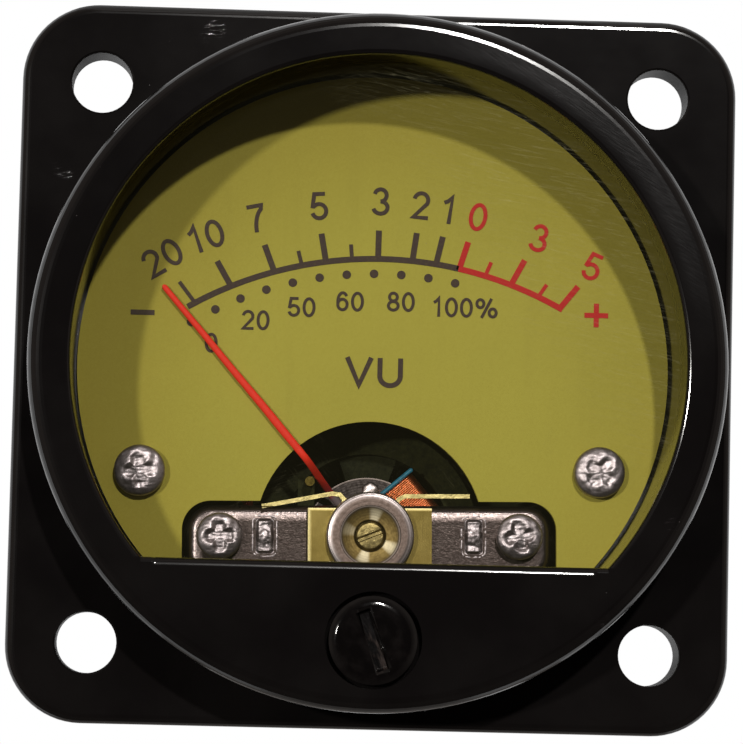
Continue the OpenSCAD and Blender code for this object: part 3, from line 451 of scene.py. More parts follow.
def brushed_brass():
    """Dull brass plate with upright brushing. Its top and left edges are bent down a little and are painted
    lighter as a painted highlight, and the arms above it are brighter."""
    made = Finish("brass", Metallic=1.0)
    across, up = made.face_place(AXIS, MOVEMENT_TILT)
    edge = up.between(1.56, 1.76).max(1.0 - across.between(-3.88, -3.62))
    edge = edge * (1.0 - up.between(1.77, 1.80))
    lines = made.grain(made.stretched(x=4.0, y=1.0, z=0.12), 3.0, detail=5.0, roughness=0.7)
    cloud = made.grain(made.stretched(), 0.8, detail=4.0)
    body = made.blend(cloud.between(0.3, 0.75), (0.225, 0.170, 0.048), (0.155, 0.113, 0.027))
    body = made.blend(lines.between(0.55, 0.8) * 0.4, body, (0.36, 0.30, 0.11))
    body = made.blend(across.between(0.5, 3.5) * 0.30, body, (0.12, 0.090, 0.026))
    # Painted highlight: the bent-down top and left edges are painted lighter
    body = made.blend(edge * 0.8, body, (0.60, 0.52, 0.25))
    arms = up.between(1.82, 1.86)
    mottle = made.grain(made.stretched(), 2.2, detail=3.0)
    body = made.blend(arms * (0.55 + mottle.between(0.35, 0.65) * 0.4), body, (0.60, 0.51, 0.22))
    gloss = 0.34 + lines * 0.2
    height = lines * 0.012 - edge * 0.02 + arms * mottle * 0.04
    return made.set(Base_Color=body, Roughness=gloss, Normal=made.bump(height, MM))


def turned_metal(name, light, dark, rough, rim=None, highlight_streaks=(), rolled_highlight=None):
    """Metal turned on a lathe about the pointer's axis: fine rings and a tone that varies round it.
    Streaks, given as bearings in degrees and shares, are painted highlights. A rim, given as its inner and
    outer radius in millimetres, is grey, and an edge that curls over, given the same way, falls away and
    is painted lighter, a painted highlight."""
    made = Finish(name, Metallic=1.0)
    across, up = made.face_place(about=AXIS)
    reach = (across * across + up * up) ** 0.5
    ring = (reach * 38.0).sine() + (reach * 23.0).sine() * 0.6
    grain = made.grain(made.stretched(), 5.0, detail=4.0)
    body = made.blend(grain.between(0.3, 0.75), light, dark)
    # Painted highlights: brighter streaks at the given bearings
    for degrees, share in highlight_streaks:
        bearing = math.radians(degrees)
        facing = (across * math.sin(bearing) + up * math.cos(bearing)) / reach
        body = made.blend(facing.between(0.95, 1.0) * share, body, (0.92, 0.84, 0.60))
    if rim:
        body = made.blend(reach.between(*rim), body, (0.20, 0.165, 0.145))
    gloss = rough + grain * 0.14
    height = ring * 0.0012 + grain * 0.004
    if rolled_highlight:
        # Painted highlight: the edge that curls over is painted lighter, besides its real fall and gloss
        roll = reach.between(*rolled_highlight)
        body = made.blend(roll * 0.7, body, (0.62, 0.56, 0.55))
        gloss = gloss - roll * 0.22
        height = height - roll * 0.07
    return made.set(Base_Color=body, Roughness=gloss, Normal=made.bump(height, MM))


def enamel(name, light, dark, rough, scale, detail=3.0, **constants):
    """An even coat or cover, only a little mottled in its tone and its gloss."""
    made = Finish(name, **constants)
    grain = made.grain(made.stretched(), scale, detail=detail)
    body = made.blend(grain.between(0.3, 0.7), light, dark)
    return made.set(Base_Color=body, Roughness=rough[0] + grain * rough[1])


def dark_finish(name, light, dark, rough, specular=0.06):
    """Dark pieces: blackened iron and matt moulded plastic."""
    made = Finish(name, Specular_IOR_Level=specular)
    grain = made.grain(made.stretched(), 3.0, detail=5.0, roughness=0.65)
    body = made.blend(grain.between(0.3, 0.7), light, dark)
    return made.set(Base_Color=body, Roughness=rough + grain * 0.2, Normal=made.bump(grain, 0.02 * MM))


def clear_window():
    """Clear plastic with fine scratches and a few specks; nearly all of it lets light through."""
    made = Finish("clear_window", IOR=1.49, Specular_IOR_Level=0.4)
    across = made.part(made.stretched(), "X")
    up = made.part(made.stretched(), "Z")
    corner = (across * 0.9 + up * 0.7).between(7.0, 15.0)
    long_marks = []
    for turn, offset in ((14.0, 0.0), (9.0, 31.0)):
        where = made.stretched(x=0.05, z=1.5, turn=(0.0, math.radians(turn), 0.0),
                               about=(0.0, 0.0, offset * MM))
        line = made.grain(where, 1.9, detail=2.0)
        long_marks.append((1.0 - (line - 0.5).absolute() * 130.0).max(0.0) * corner)
    wear = made.scratches((14.0, 70.0, -40.0), density=2.0, reach=0.05)
    dust = made.specks(1.3, 0.05, 0.36)
    marks = (reduce(Field.max, long_marks) * 0.16).max(wear * 0.05).max(dust * 0.35)
    body = made.blend(marks, (0.62, 0.58, 0.32), (0.86, 0.82, 0.60))
    return made.set(Base_Color=body, Alpha=0.006 + marks * 0.6, Roughness=0.03 + marks * 0.5)


def ruby():
    made = Finish("ruby", IOR=1.76, Specular_IOR_Level=0.6)
    grain = made.grain(made.stretched(), 4.0)
    body = made.blend(grain, (0.35, 0.01, 0.03), (0.22, 0.01, 0.03))
    return made.set(Base_Color=body, Roughness=0.12 + grain * 0.05)


FINISHES = {
    "black_moulding": black_moulding(),
    "adjuster_black": adjuster_black(),
    "clear_window": clear_window(),
    "dial_paint": dial_paint(),
    "ink_black": ink("ink_black", (0.058, 0.040, 0.034), (0.12, 0.095, 0.035)),
    "ink_red": ink("ink_red", (0.48, 0.022, 0.022), (0.50, 0.06, 0.03)),
    "nickel": cast_metal(),
    "bright_steel": metal("bright_steel", (0.46, 0.41, 0.41), (0.25, 0.215, 0.215), 0.30, relief=0.02),
    "brass": brushed_brass(),
    "aluminium": turned_metal("aluminium", (0.205, 0.155, 0.132), (0.140, 0.102, 0.084), 0.50,
                              rolled_highlight=(2.26, 2.62)),
    "spring_bronze": metal("spring_bronze", (0.60, 0.36, 0.18), (0.40, 0.22, 0.10), 0.25),
    "ruby": ruby(),
    "pointer_red": pointer_red(),
    "copper": enamel("copper", (0.76, 0.255, 0.095), (0.46, 0.125, 0.034), (0.24, 0.2), 3.0, detail=4.0,
                     Metallic=1.0, Coat_Weight=0.3, Coat_Roughness=0.15),
    "blue_enamel": enamel("blue_enamel", (0.020, 0.19, 0.27), (0.012, 0.10, 0.15), (0.25, 0.15), 4.0,
                          IOR=1.5, Specular_IOR_Level=0.5),
    # Painted reflection: the core's face is bright metal painted dark for the dark cavity it reflects; its grey
    # rim is a painted highlight
    "core_steel": turned_metal("core_steel", (0.060, 0.050, 0.046), (0.020, 0.016, 0.015), 0.40,
                               rim=(3.78, 3.84)),
    # Painted reflection: the olive tint of these dark finishes stands for the dial's light thrown into the cavity;
    # their darkness is their own
    "dark_iron": dark_finish("dark_iron", (0.019, 0.020, 0.004), (0.008, 0.009, 0.002), 0.5),
    "black_matte": dark_finish("black_matte", (0.014, 0.015, 0.004), (0.006, 0.007, 0.002), 0.5),
    "terminal_plate": metal("terminal_plate", (0.66, 0.60, 0.46), (0.46, 0.40, 0.27), 0.24),
    "red_wire": enamel("red_wire", (0.42, 0.012, 0.010), (0.30, 0.010, 0.010), (0.38, 0.2), 2.0,
                       IOR=1.45),
}
# Finishes of pieces that differ from the rest of their slot
# The turned brass's streaks are painted highlights
TURNED_BRASS = turned_metal("turned_brass", (0.27, 0.195, 0.068), (0.18, 0.125, 0.042), 0.54,
                            rim=(1.66, 1.86),
                            highlight_streaks=((12, 0.75), (118, 0.6), (196, 0.65), (285, 0.35)))
# Painted shade: the stop pins' brass is painted dark for the shade of the cavity they sit low in
PIN_BRASS_PAINTED_SHADE = metal("pin_brass_painted_shade", (0.10, 0.075, 0.016), (0.05, 0.036, 0.008), 0.45)
SOLDER = metal("solder", (0.72, 0.65, 0.62), (0.44, 0.38, 0.36), 0.30)
CASE_PLASTIC = dark_finish("case_plastic", (0.016, 0.015, 0.015), (0.009, 0.008, 0.008), 0.30,
                           specular=0.4)
SCREW_BRASS = metal("screw_brass", (0.31, 0.245, 0.10), (0.15, 0.115, 0.042), 0.30, relief=0.02)


def finish_nodes():
    """Gives every CAD node its slot's finish, and the stop pins and the rear case one of their own."""
    for part in frame["record"]["subparts"]:
        node = NODES[part["node"]]
        for slot in node.material_slots:
            slot.material = FINISHES[part["material_slot"]].material
    NODES["stop_pins"].material_slots[0].material = PIN_BRASS_PAINTED_SHADE.material
    NODES["rear_case"].material_slots[0].material = CASE_PLASTIC.material


# -------- mesh helpers

def new_object(name, data):
    made = bpy.data.objects.new(name, data)
    bpy.context.scene.collection.objects.link(made)
    return made


def add_piece(name, mesh, body, slot, replaces=(), smooth=True, finish=None):
    """Puts a mesh in the scene as a piece of the object with its finish."""
    mesh.materials.append((finish or FINISHES[slot]).material)
    mesh.polygons.foreach_set("use_smooth", [smooth] * len(mesh.polygons))
    piece = new_object(name, mesh)
    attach(piece, body)
    if replaces:
        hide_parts(*replaces)
    return piece


def mesh_from(name, points, faces):
    mesh = bpy.data.meshes.new(name)
    mesh.from_pydata([tuple(p) for p in points], [], faces)
    mesh.update()
    return mesh


def grid_faces(rows, columns, start=0, closed=True):
    """Quads between rows of points, which close round or stay open."""
    return [(start + r * columns + c, start + r * columns + (c + 1) % columns,
             start + (r + 1) * columns + (c + 1) % columns, start + (r + 1) * columns + c)
            for r in range(rows - 1) for c in range(columns if closed else columns - 1)]


def round_ring(centre, r, height, columns):
    """Points of a circle that faces forward."""
    return [Vector((centre.x + r * math.cos(math.tau * c / columns), -height,
                    centre.z + r * math.sin(math.tau * c / columns))) for c in range(columns)]


def face_rings(centre, radius, top, shares, columns, height_at):
    """Rings of points of a round face, at shares of its radius. The last argument gives the height at
    a share and a place across and up, and no point passes the top."""
    rings = []
    for t in shares:
        ring = []
        for c in range(columns):
            a = math.tau * c / columns
            u, v = t * radius * math.cos(a), t * radius * math.sin(a)
            ring.append(Vector((centre.x + u, -min(height_at(t, u, v), top), centre.z + v)))
        rings.append(ring)
    return rings


def capped(rings, start=0):
    """Points and faces of a shape that runs through closed rings, with a cap at each end."""
    points = [p for ring in rings for p in ring]
    columns = len(rings[0])
    faces = grid_faces(len(rings), columns, start)
    faces.append(tuple(range(start, start + columns))[::-1])
    faces.append(tuple(range(start + len(points) - columns, start + len(points))))
    return points, faces


# -------- print

# Upper numerals: text, middle across and up in millimetres, clockwise slant and ink
UPPER_NUMERALS = [
    ("20", -13.46, 6.74, -32, "ink_black"),
    ("10", -10.76, 8.17, -20, "ink_black"),
    ("7", -7.64, 9.40, -12, "ink_black"),
    ("5", -3.68, 10.29, -4, "ink_black"),
    ("3", 0.22, 10.70, 0, "ink_black"),
    ("2", 2.75, 10.53, 4, "ink_black"),
    ("1", 4.53, 10.29, 8, "ink_black"),
    ("0", 6.39, 9.89, 10, "ink_red"),
    ("3", 10.30, 8.66, 13, "ink_red"),
    ("5", 13.71, 6.94, 22, "ink_red"),
]
# Percent numerals: text, middle across and up in millimetres
LOWER_NUMERALS = [
    ("0", -10.25, 1.45),
    ("20", -7.50, 2.96),
    ("50", -4.63, 3.86),
    ("60", -1.59, 4.30),
    ("80", 1.62, 4.37),
    ("100%", 5.70, 4.11),
]
# Heights of the letters and widths of their strokes
UPPER_H, UPPER_STROKE = 1.77, 0.25
LOWER_H, LOWER_STROKE = 1.23, 0.185
UNIT_H, UNIT_STROKE = 1.9, 0.31
UNIT_PLACE = (0.06, -0.13)
INK_T = 0.02


def bow(x, y, radius_x, radius_y, start, end, steps=14):
    """Points of an elliptical stroke between two angles, in degrees anticlockwise from the right."""
    angles = [math.radians(start + (end - start) * k / steps) for k in range(steps + 1)]
    return [(x + radius_x * math.cos(a), y + radius_y * math.sin(a)) for a in angles]


# Each letter: its width, then the middle lines of its strokes in a box one high. Closed strokes repeat
# their first point.
LETTERS = {
    "0": (0.65, [bow(0.325, 0.5, 0.255, 0.437, 90, 450, 32)]),
    "1": (0.52, [[(0.06, 0.73), (0.20, 0.81), (0.32, 0.97), (0.32, 0.0)]]),
    "2": (0.65, [bow(0.325, 0.685, 0.245, 0.25, 172, -28) + [(0.085, 0.06), (0.615, 0.06)]]),
    "3": (0.65, [bow(0.31, 0.72, 0.215, 0.217, 168, -90, 16),
                 bow(0.31, 0.283, 0.255, 0.22, 90, -168, 16)]),
    "5": (0.65, [[(0.55, 0.935), (0.17, 0.935), (0.095, 0.50)]
                 + bow(0.32, 0.32, 0.25, 0.255, 138, -165, 18)]),
    "6": (0.65, [bow(0.34, 0.5, 0.25, 0.437, 38, 180, 14)
                 + bow(0.33, 0.335, 0.24, 0.272, 180, 540, 26)]),
    "7": (0.65, [[(0.06, 0.935), (0.585, 0.935)] + bow(0.72, 0.0, 0.45, 0.85, 112, 180, 10)]),
    "8": (0.65, [bow(0.325, 0.735, 0.20, 0.202, 90, 450, 24),
                 bow(0.325, 0.285, 0.25, 0.222, 90, 450, 26)]),
    "%": (1.18, [bow(0.27, 0.73, 0.18, 0.207, 90, 450, 20),
                 bow(0.91, 0.27, 0.18, 0.207, 90, 450, 20),
                 [(0.34, 0.0), (0.84, 1.0)]]),
    "V": (0.92, [[(0.06, 0.98), (0.46, 0.07), (0.86, 0.98)]]),
    "U": (0.90, [[(0.11, 0.98), (0.11, 0.38)] + bow(0.45, 0.38, 0.34, 0.31, 180, 360, 16)
                 + [(0.79, 0.98)]]),
}
LETTER_GAP = 0.12


def stroke_ribbon(points, width):
    """Left and right edges of a stroke of even width along its middle line."""
    closed = math.dist(points[0], points[-1]) < width / 10
    line = [Vector((x, y, 0.0)) for x, y in points]
    edges = []
    for k, point in enumerate(line):
        before = line[k - 1] if k else (line[-2] if closed else point)
        after = line[k + 1] if k + 1 < len(line) else (line[1] if closed else point)
        first = (point - before).normalized()
        second = (after - point).normalized()
        run = (first + second).normalized()
        side = Vector((-run.y, run.x, 0.0))
        spread = max(abs(run.dot(second if second.length else first)), 0.5)
        edges.append((point + side * width / 2 / spread, point - side * width / 2 / spread))
    return edges


def letters(drawing, text, height, stroke_w, slant, x, z):
    """Draws raised flat letters of a height and stroke width in millimetres, centred on a spot."""
    total = sum(LETTERS[c][0] for c in text) + LETTER_GAP * (len(text) - 1)
    turn = Matrix.Rotation(math.radians(slant), 4, "Y")
    centre = spot(x, z, INK_FACE)
    start = -total / 2
    for character in text:
        width, strokes = LETTERS[character]
        for layer, stroke in enumerate(strokes):
            edges = stroke_ribbon([(start + px, py - 0.5) for px, py in stroke], stroke_w / height)
            rings = []
            for step, (left, right) in enumerate(edges):
                # Each step stands a hair prouder, so ink that crosses itself never lies in one plane
                front = -INK_T * (0.35 * layer + 0.01 * step)
                ring = []
                for p, depth in ((left, front), (right, front), (right, INK_T), (left, INK_T)):
                    local = Vector((p.x * height * MM, depth * MM, p.y * height * MM))
                    ring.append(drawing.verts.new(centre + turn @ local))
                rings.append(ring)
            for near, far in zip(rings, rings[1:]):
                for a, b in ((0, 1), (1, 2), (2, 3), (3, 0)):
                    drawing.faces.new((near[a], near[b], far[b], far[a]))
            drawing.faces.new(rings[0][::-1])
            drawing.faces.new(rings[-1])
        start += width + LETTER_GAP


def print_numerals():
    sheets = {"ink_black": bmesh.new(), "ink_red": bmesh.new()}
    for text, x, z, slant, colour in UPPER_NUMERALS:
        letters(sheets[colour], text, UPPER_H, UPPER_STROKE, slant, x, z)
    for text, x, z in LOWER_NUMERALS:
        letters(sheets["ink_black"], text, LOWER_H, LOWER_STROKE, 0.0, x, z)
    letters(sheets["ink_black"], "VU", UNIT_H, UNIT_STROKE, 0.0, *UNIT_PLACE)
    for colour, drawing in sheets.items():
        bmesh.ops.recalc_face_normals(drawing, faces=drawing.faces)
        mesh = bpy.data.meshes.new("numerals_" + colour)
        drawing.to_mesh(mesh)
        drawing.free()
        add_piece("numerals_" + colour, mesh, "meter", colour, smooth=False)


# -------- screws

def cross_depth(u, v, radius):
    """Depth of a worn cross recess, 0 to 1, at a place on a screw head."""
    soft = 0.14 * radius
    depth = 0.0
    for along_arm, over in ((u, v), (v, u)):
        half_w = radius * (0.28 - 0.08 * min(abs(along_arm) / (0.6 * radius), 1.0))
        bar = 1 - smooth_step(half_w - soft, half_w + soft, abs(over))
        end = 1 - smooth_step(0.44 * radius, 0.80 * radius, abs(along_arm))
        depth = max(depth, bar * end * (0.6 + 0.4 * end))
    return depth


def screw_rings(centre, seat, top, radius, tip, turn, seed, bite):
    """Rings of points of a pan-head screw: worn head with a cross recess, then its shank. The bite is
    the recess's depth as a share of the head's."""
    rise = top - seat
    shank_r = 0.8 * MM
    columns = 96
    shares = [0.0005] + [k / 34 for k in range(1, 30)]
    shares += [0.89, 0.92, 0.945, 0.965, 0.98, 0.99, 0.997, 1.0]

    def height_at(t, u, v):
        cu = u * math.cos(turn) + v * math.sin(turn)
        cv = v * math.cos(turn) - u * math.sin(turn)
        dome = rise * (0.56 + 0.32 * (1 - t * t) + 0.12 * max(1 - t ** 14, 0.0) ** 0.5)
        worn = noise.noise(Vector((u, v, seed * MM)) / (0.45 * MM)) * 0.050 * MM
        nick = noise.noise(Vector((u * 0.8, v * 2, seed * MM)) / (0.26 * MM)) * 0.022 * MM
        drift = noise.noise(Vector((u, v, -seed * MM)) / (0.6 * MM)) * 0.09 * MM
        cut = cross_depth(cu + drift, cv - drift, radius) * bite * rise
        return seat + dome - cut + (worn + nick) * (1 - t ** 8)

    rings = face_rings(centre, radius, top, shares, columns, height_at)
    for r, height in ((radius, seat), (shank_r, seat), (shank_r, tip),
                      (shank_r * 0.3, tip - shank_r * 0.5)):
        rings.append(round_ring(centre, r, height, columns))
    return rings


def screw_pair(name, node, seat, turns, bite):
    """A pair of like screws in the places of a CAD pair, each with its own wear and its own turn in
    degrees."""
    lo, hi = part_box(node)
    points, faces = [], []
    for k, (centre, half) in enumerate(pair_places(node)):
        turn = math.radians(turns[k])
        rings = screw_rings(centre, seat, -lo.y, half.x, -hi.y, turn, k + 3, bite)
        more_points, more_faces = capped(rings, len(points))
        points += more_points
        faces += more_faces
    add_piece(name, mesh_from(name, points, faces), "meter", "bright_steel", replaces=(node,))


def turned_bush():
    """The bearing's bush: its shank, its flange, its collar in the lever, and the dish in front."""
    lo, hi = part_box("bearing_bush")
    rim, back = -lo.y, -hi.y
    flange_r = (hi.x - lo.x) / 2
    shoulder = BRIDGE_FACE
    dish = [((1.02 + 0.73 * k / 14) * MM, rim - (0.31 - 0.10 * k / 14 - 0.14 * (k / 14) ** 2) * MM)
            for k in range(15)]
    profile = [(1.0 * MM, back), (1.0 * MM, rim - 0.33 * MM)] + dish + [
        (1.79 * MM, rim - 0.015 * MM), (1.83 * MM, rim), (1.88 * MM, rim), (1.90 * MM, rim - 0.02 * MM),
        (1.90 * MM, rim - 0.55 * MM), (2.20 * MM, rim - 0.55 * MM), (2.20 * MM, rim - 1.0 * MM),
        (flange_r, rim - 1.0 * MM), (flange_r, shoulder), (1.45 * MM, shoulder), (1.45 * MM, back)]
    columns = 128
    points = [p for r, height in profile + profile[:1] for p in round_ring(AXIS, r, height, columns)]
    mesh = mesh_from("turned_bush", points, grid_faces(len(profile) + 1, columns))
    add_piece("turned_bush", mesh, "meter", "brass", replaces=("bearing_bush",), finish=TURNED_BRASS)
    mesh.set_sharp_from_angle(angle=math.radians(40))


def jewel_screw():
    """The bearing's slotted screw in its dark gap, with the hollow at its back that holds the jewel."""
    lo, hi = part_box("front_jewel_screw")
    jewel_lo, jewel_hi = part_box("jewels")
    face, back = -lo.y, -hi.y
    bore_r = (jewel_hi.x - jewel_lo.x) / 2 + 0.02 * MM
    thread_r = (hi.x - lo.x) / 2
    head_r = thread_r - 0.13 * MM
    turn = math.radians(22)
    slot_depth = 0.24 * MM
    columns = 120
    shares = [0.001] + [k / 26 for k in range(1, 25)] + [0.95, 0.975, 0.99, 1.0]

    def height_at(t, u, v):
        over = v * math.cos(turn) - u * math.sin(turn)
        slot = 1 - smooth_step(0.10 * MM, 0.15 * MM, abs(over))
        dome = 0.05 * MM * t * t + 0.07 * MM * smooth_step(0.94, 1.0, t)
        wave = noise.noise(Vector((u, v, 0.0)) / (0.25 * MM)) * 0.012 * MM
        return face - dome - 0.02 * MM + wave - slot * slot_depth

    rings = face_rings(AXIS, head_r, face, shares, columns, height_at)
    shoulder = face - 0.40 * MM
    hollow_floor = back + 0.3 * MM
    for r, height in ((head_r, shoulder), (thread_r, shoulder), (thread_r, back), (bore_r, back),
                      (bore_r, hollow_floor)):
        rings.append(round_ring(AXIS, r, height, columns))
    mesh = mesh_from("slotted_jewel_screw", *capped(rings))
    add_piece("slotted_jewel_screw", mesh, "meter", "brass", replaces=("front_jewel_screw",),
              finish=SCREW_BRASS)


def screws():
    screw_pair("worn_dial_screws", "dial_screws", DIAL_FACE, (8, 52), 0.14)
    screw_pair("worn_bridge_screws", "bridge_screws", BRIDGE_FACE, (4, 12), 0.21)
    turned_bush()
    jewel_screw()


# -------- movement

def rounded_rectangle(half_w, half_h, radius, steps):
    """Points round a rounded rectangle, anticlockwise."""
    points = []
    for sx, sy, start in ((1, 1, 0), (-1, 1, 90), (-1, -1, 180), (1, -1, 270)):
        middle = (sx * (half_w - radius), sy * (half_h - radius))
        points += bow(*middle, radius, radius, start, start + 90, steps)
    return points


def lug_height(u, v, half_w, half_h, seed):
    """Height before the bridge's face, in millimetres, of a pressed lug and the rim round it."""
    corner, gap, rim_w, sunk = 0.22, 0.10, 0.24, -0.10
    du, dv = abs(u) - (half_w - corner), abs(v) - (half_h - corner)
    past = math.hypot(max(du, 0.0), max(dv, 0.0)) + min(max(du, dv), 0.0) - corner
    wear = noise.noise(Vector((u, v, seed)) / 0.22)
    if past < gap:
        mounds = 0.5 + 0.5 * math.cos(math.tau * v / half_h * 0.78)
        top = 0.10 + 0.15 * mounds - 0.10 * (u / half_w) ** 2 + 0.05 * wear
        return sunk + (top - sunk) * (1 - smooth_step(-0.16, 0.06, past))
    rim = math.sin(math.pi * min((past - gap) / rim_w, 1.0))
    return -0.08 + 0.05 * smooth_step(0.08, 0.20, past) + 0.040 * rim + 0.040 * wear * rim


def lugs():
    """Each lug is pressed over in its slot: mounds on its top, then a gap and a raised rim round it."""
    points, faces = [], []
    columns, rows, margin = 34, 56, 0.34
    tilt_cos, tilt_sin = math.cos(MOVEMENT_TILT), math.sin(MOVEMENT_TILT)
    for side, (place, half) in enumerate(pair_places("yoke_lugs")):
        half_w, half_h = half.x / MM - 0.02, half.z / MM - 0.02
        start = len(points)
        for r in range(rows):
            for c in range(columns):
                u = (half_w + margin) * (2 * c / (columns - 1) - 1)
                v = (half_h + margin) * (2 * r / (rows - 1) - 1)
                height = lug_height(u, v, half_w, half_h, side * 7)
                if r in (0, rows - 1) or c in (0, columns - 1):
                    height = -0.12
                points.append(Vector((place.x + (u * tilt_cos - v * tilt_sin) * MM,
                                      -(BRIDGE_FACE + height * MM),
                                      place.z + (v * tilt_cos + u * tilt_sin) * MM)))
        faces += grid_faces(rows, columns, start, closed=False)
    add_piece("pressed_lugs", mesh_from("pressed_lugs", points, faces), "meter", "bright_steel",
              replaces=("yoke_lugs",))


def pointer_blade():
    """The lacquered pointer: a thin strip with a rounded face that cranks forward through the dial's
    cut-out and then runs close over the print, not quite straight."""
    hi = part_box("pointer")[1]
    length = max(math.hypot(v.co.x - AXIS.x, v.co.z - AXIS.z) for v in NODES["pointer"].data.vertices)
    root_h, run_h = -hi.y, DIAL_FACE + 0.30 * MM
    run = along(POINTER_BEARING, 1.0) - along(POINTER_BEARING, 0.0)
    side = Vector((run.z, 0.0, -run.x))
    section = ((-1.0, 0.0), (-1.0, 0.45), (-0.7, 0.82), (0.0, 1.0),
               (0.7, 0.82), (1.0, 0.45), (1.0, 0.0))
    stations = [1.32, 2.0, 2.8, 3.5]
    stations += [3.6 + 0.28 * k for k in range(11)] + [6.8 + 0.5 * k for k in range(27)]
    stations = [reach * MM for reach in stations if reach * MM < length - 0.25 * MM]
    stations += [length - back * MM for back in (0.2, 0.1, 0.04, 0.0)]
    rings = []
    for reach in stations:
        # It stays slim and straight as far as the stop pins
        past_pins = smooth_step(6.0 * MM, 9.0 * MM, reach)
        half = (0.265 + 0.05 * past_pins - 0.14 * reach / length) * MM
        half *= (1 - 0.55 * smooth_step(length - 0.14 * MM, length, reach))
        height = root_h + (run_h - root_h) * smooth_step(3.5 * MM, 6.5 * MM, reach)
        thickness = (0.20 - 0.05 * smooth_step(3.5 * MM, 6.5 * MM, reach)) * MM
        wave = noise.noise(Vector((reach / (3.0 * MM), 0.0, 0.0))) * 0.03 * MM * past_pins
        edge = noise.noise(Vector((reach / (0.7 * MM), 5.0, 0.0))) * 0.012 * MM * past_pins
        rings.append([along(POINTER_BEARING, reach, height + rise * thickness)
                      + side * (across * (half + edge) + wave) for across, rise in section])
    add_piece("pointer_blade", mesh_from("pointer_blade", *capped(rings)), "movement", "pointer_red",
              replaces=("pointer",))


def solder_bead():
    """The bead of solder that holds the hairspring's outer end to the lever's tab."""
    columns, rows = 40, 24
    place = along(0.0, 2.95 * MM, 0.95 * MM)
    half_w, half_t = 0.50, 0.30
    points = []
    for r in range(rows):
        polar = math.pi * r / (rows - 1)
        for c in range(columns):
            a = math.tau * c / columns
            push = Vector((math.sin(polar) * math.cos(a), -math.cos(polar),
                           math.sin(polar) * math.sin(a)))
            lump = 1 + 0.14 * noise.noise(push * 1.7 + Vector((4.0, 0.0, 2.0)))
            flare = 1 + 0.35 * max(-push.z, 0.0)
            surface = Vector((push.x * half_w * flare, push.y * half_t, push.z * half_w))
            points.append(place + surface * lump * MM)
    faces = grid_faces(rows, columns)
    add_piece("solder_bead", mesh_from("solder_bead", points, faces), "lever", "bright_steel",
              finish=SOLDER)


def wire_loop(half_w, half_h, radius, wire_r, place):
    """Points and faces of one closed turn of round wire."""
    sides = 8
    outline = rounded_rectangle(half_w, half_h, radius, 4)
    count = len(outline)
    points = []
    for k in range(count):
        before = Vector(outline[k - 1])
        after = Vector(outline[(k + 1) % count])
        run = (after - before).normalized()
        out = Vector((run.y, -run.x))
        for s in range(sides):
            a = math.tau * s / sides
            spread = Vector(outline[k]) + out * wire_r * math.cos(a)
            points.append(place(spread.x, spread.y, wire_r * math.sin(a)))
    faces = [(k * sides + s, (k + 1) % count * sides + s,
              (k + 1) % count * sides + (s + 1) % sides, k * sides + (s + 1) % sides)
             for k in range(count) for s in range(sides)]
    return points, faces


def winding():
    """The moving coil's enamelled wire: single turns side by side, each a little out of line."""
    rng = random.Random(5)
    lo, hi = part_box("coil_winding")
    front, back = -lo.y, -hi.y
    turns = 30
    width = 3.4 * MM
    outer = 4.9 * MM
    wire_r = width / turns / 2
    run = Vector((math.cos(-POINTER_BEARING), 0.0, math.sin(-POINTER_BEARING)))
    side = Vector((-run.z, 0.0, run.x))
    points, faces = [], []
    for k in range(turns):
        offset = -width / 2 + wire_r + (width - 2 * wire_r) * k / (turns - 1)
        slack = rng.uniform(-0.25, 0.1) * wire_r
        mid_h = (front + back) / 2

        def place(across, height, aside):
            spot_on = AXIS + run * across + side * (offset + aside)
            return Vector((spot_on.x, -(mid_h + height), spot_on.z))

        loop, quads = wire_loop(outer - wire_r + slack, (front - back) / 2 - wire_r + slack,
                                0.5 * MM, wire_r, place)
        faces += [tuple(len(points) + i for i in quad) for quad in quads]
        points += loop
    add_piece("coil_turns", mesh_from("coil_turns", points, faces), "movement", "copper",
              replaces=("coil_winding",))


# -------- stage, light and camera

# The camera's azimuth, elevation and roll in degrees, the point it faces and its distance from that in
# millimetres, the lens and the sensor's width in millimetres, and the lens's shift
CAMERA_TURNS = (-2.519, -4.851, 1.369)
CAMERA_TARGET = (-0.597, 0.0, 0.4685)
CAMERA_REACH = 223.55
LENS, SENSOR_W = 170.8, 36.0
LENS_SHIFT = (0.0113, -0.0101)


def pale_floor():
    """A small round pale floor well below the object, and behind its front."""
    segments = 96
    radius = 0.12
    set_back = 1.08
    level = CAD_BOX[0][2] - 0.13
    points = [Vector((radius * math.cos(a), radius * (set_back + math.sin(a)), level))
              for a in (math.tau * k / segments for k in range(segments))]
    mesh = mesh_from("floor", points, [tuple(range(segments))])
    made = Finish("pale_floor", Specular_IOR_Level=0.2)
    grain = made.grain(made.stretched(), 0.05)
    body = made.blend(grain, (0.80, 0.80, 0.80), (0.84, 0.84, 0.84))
    made.set(Base_Color=body, Roughness=0.7 + grain * 0.1)
    mesh.materials.append(made.material)
    new_object("floor", mesh)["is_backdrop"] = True


def sun(name, towards, strength, spread, colour):
    lamp = bpy.data.lights.new(name, "SUN")
    lamp.energy = strength
    lamp.angle = math.radians(spread)
    lamp.color = colour
    new_object(name, lamp).rotation_euler = Vector(towards).to_track_quat("Z", "Y").to_euler()


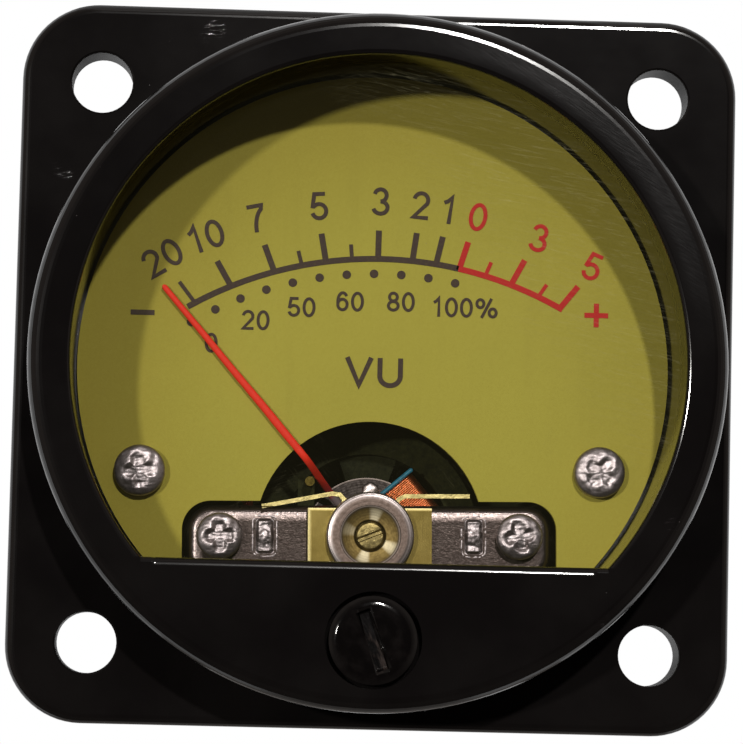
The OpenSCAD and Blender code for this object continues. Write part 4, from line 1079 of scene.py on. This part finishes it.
def room():
    """White all round for the camera, a white backdrop behind the object, and before it a dim room
    that is darker straight ahead and from below."""
    dimness = 0.21
    world = bpy.data.worlds.new("room")
    bpy.context.scene.world = world
    world.use_nodes = True
    tree = world.node_tree
    tree.nodes.clear()
    node = partial(add_node, tree)

    def maths(operation, *values):
        return node("ShaderNodeMath", {"operation": operation}, dict(enumerate(values)))

    rays = tree.nodes.new("ShaderNodeLightPath").outputs
    direction = node("ShaderNodeTexCoord", output="Generated")
    ahead = node("ShaderNodeSeparateXYZ", None, {"Vector": direction}, output="Y")
    behind = node("ShaderNodeMapRange", None, {"Value": ahead, "From Min": -0.05, "From Max": 0.2})
    mirror = maths("MAXIMUM", rays["Is Glossy Ray"], rays["Is Transmission Ray"])
    backdrop = maths("MULTIPLY", behind, mirror)
    white = maths("MAXIMUM", rays["Is Camera Ray"], backdrop)
    side = node("ShaderNodeMapRange", {"interpolation_type": "SMOOTHSTEP"},
                {"Value": ahead, "From Min": -0.96, "From Max": -0.55, "To Min": 0.03, "To Max": 1.0})
    rise = node("ShaderNodeSeparateXYZ", None, {"Vector": direction}, output="Z")
    lift = node("ShaderNodeMapRange", None,
                {"Value": rise, "From Min": -0.6, "From Max": -0.1, "To Min": 0.25})
    level = maths("MULTIPLY", maths("MULTIPLY", side, lift), dimness)
    dim = node("ShaderNodeBackground", None, {"Color": (1.0, 0.86, 0.76, 1.0), "Strength": level})
    bright = node("ShaderNodeBackground", None, {"Color": (1.0, 1.0, 1.0, 1.0), "Strength": 1.0})
    mixed = node("ShaderNodeMixShader", None, {0: white, 1: dim, 2: bright})
    output = tree.nodes.new("ShaderNodeOutputWorld")
    tree.links.new(mixed, output.inputs["Surface"])


def camera():
    azimuth, elevation, roll = (math.radians(a) for a in CAMERA_TURNS)
    target = Vector(CAMERA_TARGET) * MM
    back = Vector((
        math.sin(azimuth) * math.cos(elevation),
        -math.cos(azimuth) * math.cos(elevation),
        math.sin(elevation),
    ))
    right = Vector((0.0, 0.0, 1.0)).cross(back).normalized()
    up = back.cross(right)
    rolled_right = right * math.cos(roll) + up * math.sin(roll)
    rolled_up = up * math.cos(roll) - right * math.sin(roll)
    lens = bpy.data.cameras.new("camera")
    lens.sensor_width = SENSOR_W
    lens.lens = LENS
    lens.shift_x, lens.shift_y = LENS_SHIFT
    lens.clip_start = 0.01
    carrier = new_object("camera", lens)
    turn = Matrix((rolled_right, rolled_up, back)).transposed().to_4x4()
    carrier.matrix_world = Matrix.Translation(target + back * CAMERA_REACH * MM) @ turn
    bpy.context.scene.camera = carrier


def write_sizes():
    boxes = {"cad": CAD_BOX, "visual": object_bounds()}
    {name: [list(corner) for corner in box] for name, box in boxes.items()}


finish_nodes()
print_numerals()
screws()
lugs()
pointer_blade()
solder_bead()
winding()
pale_floor()
sun("lamp_left", (-0.518, -1.0, 0.155), 1.25, 3.2, (1.0, 0.97, 0.92))
sun("lamp_top", (0.124, -1.0, 0.402), 1.40, 2.2, (1.0, 0.97, 0.94))
room()
camera()
bpy.context.scene.view_settings.view_transform = "Standard"
write_sizes()
